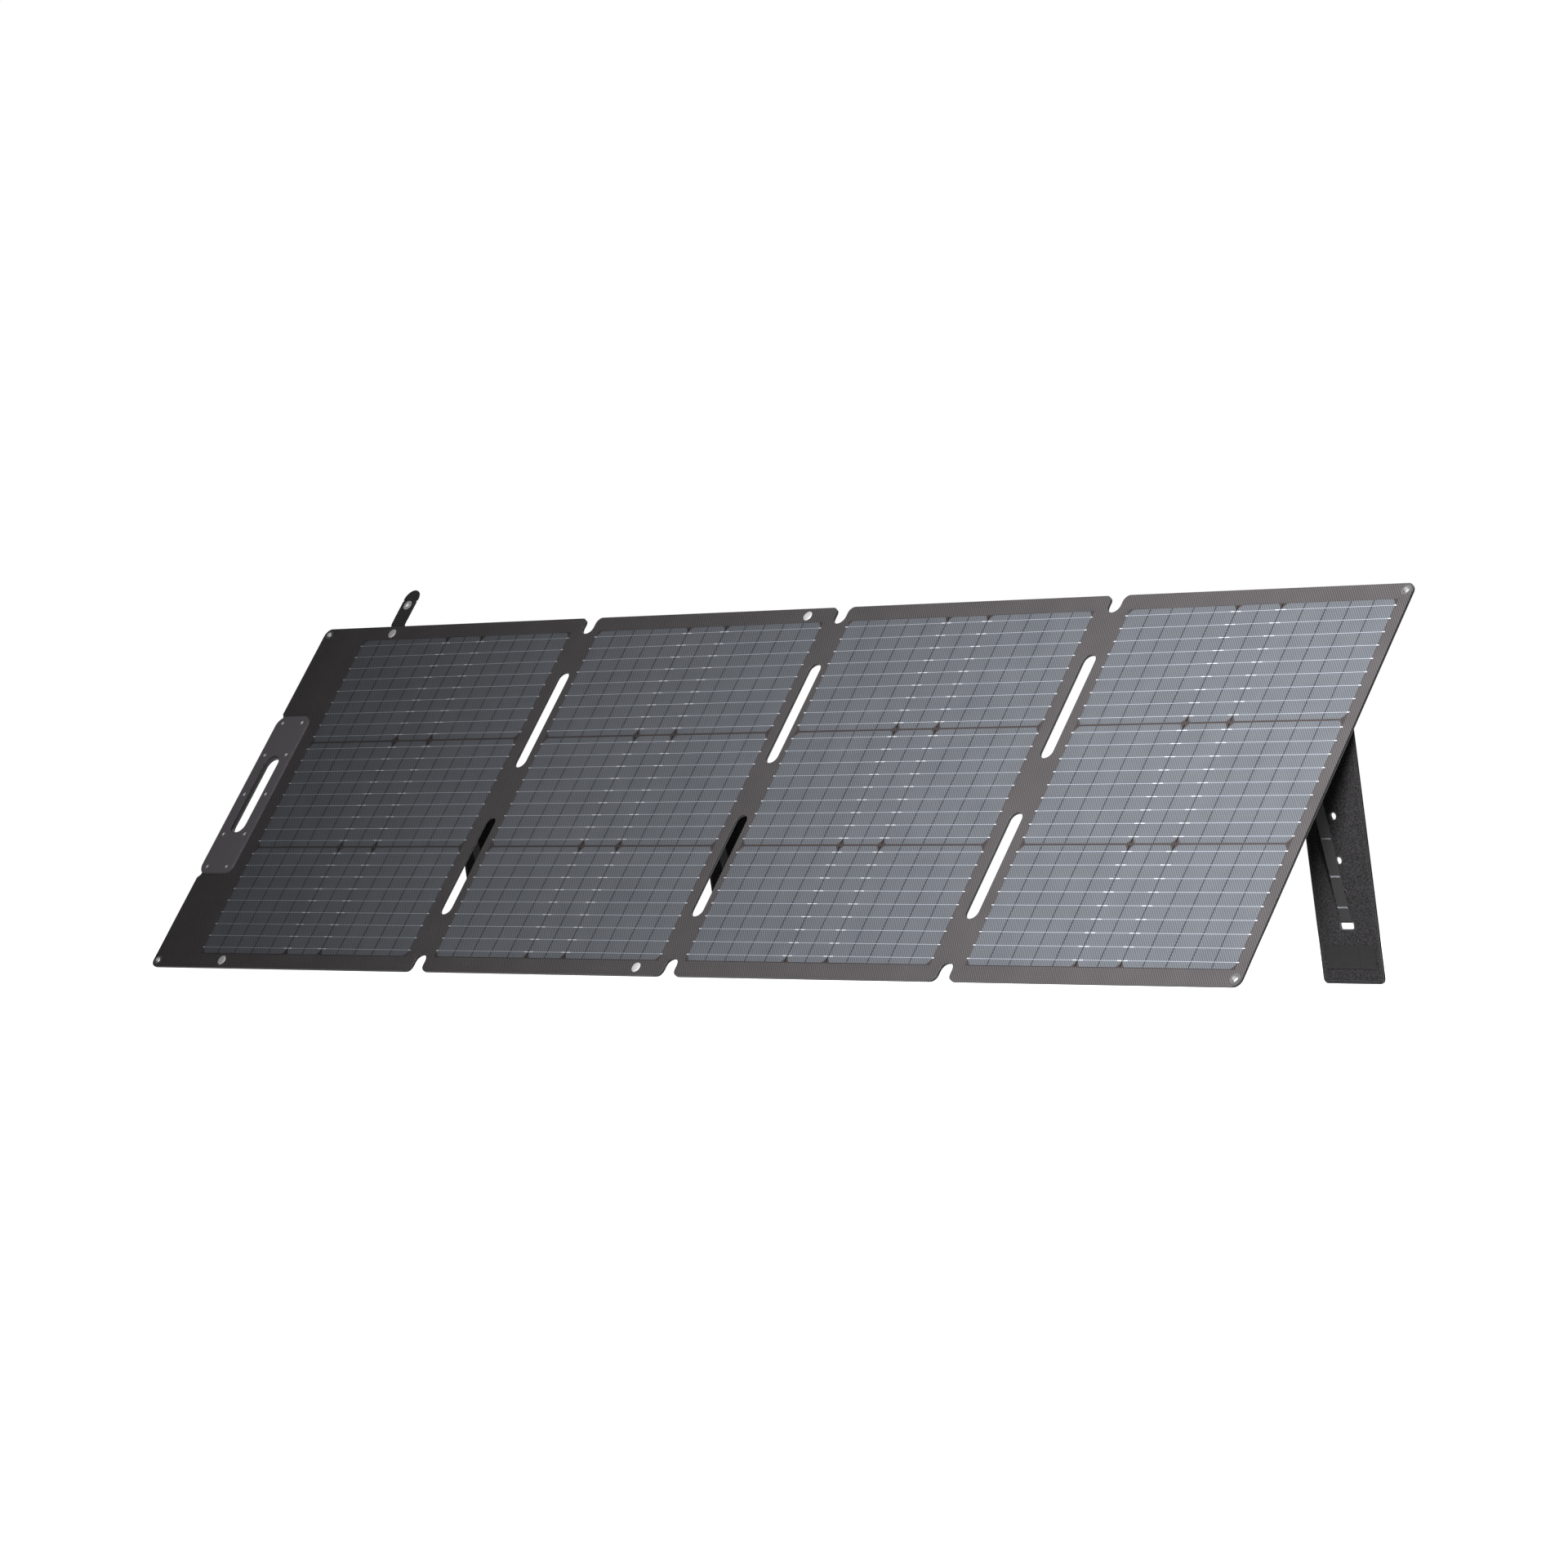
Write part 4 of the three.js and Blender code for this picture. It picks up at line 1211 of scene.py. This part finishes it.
def paint_nodes():
    """Each CAD piece that stays takes the material of its slot."""
    finishes = {
        "laminate": FILM,
        "cells": CELL_FILM,
        "felt": FELT,
        "webbing": STRAP,
        "handle_plastic": HANDLE,
        "black_plastic": BLACK,
        "nickel": NICKEL,
    }
    slots = {s["node"]: s["material_slot"] for s in frame["record"]["subparts"]}
    for name, obj in frame["nodes"].items():
        eyelet = name.startswith("corner_eyelet")
        for material_slot in obj.material_slots:
            material_slot.material = EYELET if eyelet else finishes[slots[name]]


GRIP_X = 36.4
GRIP_HALF_W, GRIP_HALF_H = 15.5, 67.25


def grip_painted_shade():
    """The black wall inside the handle's opening: a black sleeve over its walls, as painted shade
    in the recess.
    """
    x, v = GRIP_X, HEIGHT / 2
    w, h, r = GRIP_HALF_W, GRIP_HALF_H, 14.0
    outer = rounded(x - w - 0.02, v - h - 0.02, x + w + 0.02, v + h + 0.02, r, 8)
    inner = rounded(x - w + 0.5, v - h + 0.5, x + w - 0.5, v + h - 0.5, r - 0.5, 8)
    shade_sleeve = plate(outer, [inner], -5.6, 2.3)
    piece("handle_grip_painted_shade", shade_sleeve, EDGE_TAPE, "panel_1")


# ---------- studio ----------


# From the panel's lower right corner to the camera, in metres.
CAMERA_OFFSET = Vector((4.798, -5.481, 0.144))
CAMERA_TURN = (90.78, 0, 45.49)
FOCAL_LENGTH = 139
SENSOR_WIDTH = 36


def camera():
    """A long lens, low and far to the right, like the photo's."""
    corner = Vector((CAD_HIGH.x, ORIGIN.y, ORIGIN.z))
    data = bpy.data.cameras.new("camera")
    data.lens = FOCAL_LENGTH
    data.sensor_width = SENSOR_WIDTH
    obj = bpy.data.objects.new("camera", data)
    obj.location = corner + CAMERA_OFFSET
    obj.rotation_euler = [math.radians(angle) for angle in CAMERA_TURN]
    bpy.context.scene.collection.objects.link(obj)
    bpy.context.scene.camera = obj


def area_light(name, place, target, width, height, power, spread=180):
    """A rectangular light aimed at a target; its spread is in degrees."""
    data = bpy.data.lights.new(name, "AREA")
    data.shape = "RECTANGLE"
    data.size = width
    data.size_y = height
    data.energy = power
    data.spread = math.radians(spread)
    obj = bpy.data.objects.new(name, data)
    obj.location = place
    obj.rotation_euler = (Vector(target) - Vector(place)).to_track_quat("-Z", "Y").to_euler()
    bpy.context.scene.collection.objects.link(obj)


def white_floor():
    """A floor that glows white and doesn't light the panel from below."""
    bpy.ops.mesh.primitive_plane_add(size=60, location=(0, 0, -0.0005))
    floor = bpy.context.object
    floor.name = "floor"
    floor.visible_diffuse = False
    n = Nodes("floor_white", 0.9, specular=0.1)
    n.shader.inputs["Base Color"].default_value = (0.8, 0.8, 0.8, 1)
    n.shader.inputs["Emission Color"].default_value = (1, 1, 1, 1)
    n.shader.inputs["Emission Strength"].default_value = 1.0
    floor.data.materials.append(n.material)


def surround(fill, seen):
    """A world that lights with one strength and shows to the camera with another."""
    world = bpy.data.worlds.new("surround")
    world.use_nodes = True
    tree = world.node_tree
    backdrop = tree.nodes["Background"]
    backdrop.inputs[0].default_value = (1, 1, 1, 1)
    to_camera = tree.nodes.new("ShaderNodeLightPath").outputs["Is Camera Ray"]
    strength = tree.nodes.new("ShaderNodeMapRange")
    strength.inputs[3].default_value = fill
    strength.inputs[4].default_value = seen
    tree.links.new(to_camera, strength.inputs[0])
    tree.links.new(strength.outputs[0], backdrop.inputs[1])
    bpy.context.scene.world = world


def studio():
    """A white floor and surround, a key near the right end, and a soft light from behind."""
    white_floor()
    surround(fill=0.055, seen=1.0)
    area_light("key", (3.0, -2.6, 1.9), (0.93, 0, 0.3), 1.0, 1.0, 36, 46)
    area_light("back", (-1.5, 4.0, 3.0), (0, 0, 0.2), 3.0, 2.0, 170)
    bpy.context.scene.view_settings.view_transform = "Standard"


# ---------- everything in order ----------

camera()
studio()
paint_nodes()
for panel_number in (1, 2, 3, 4):
    panel_face(panel_number)
    panel_back(panel_number)
for web_name in HINGES:
    hinge_web(web_name)
top_strap()
bottom_strap()
for leg_number in (1, 2, 4):
    leg(leg_number)
pouch()
zip_fastener()
junction_lid()
grip_painted_shade()
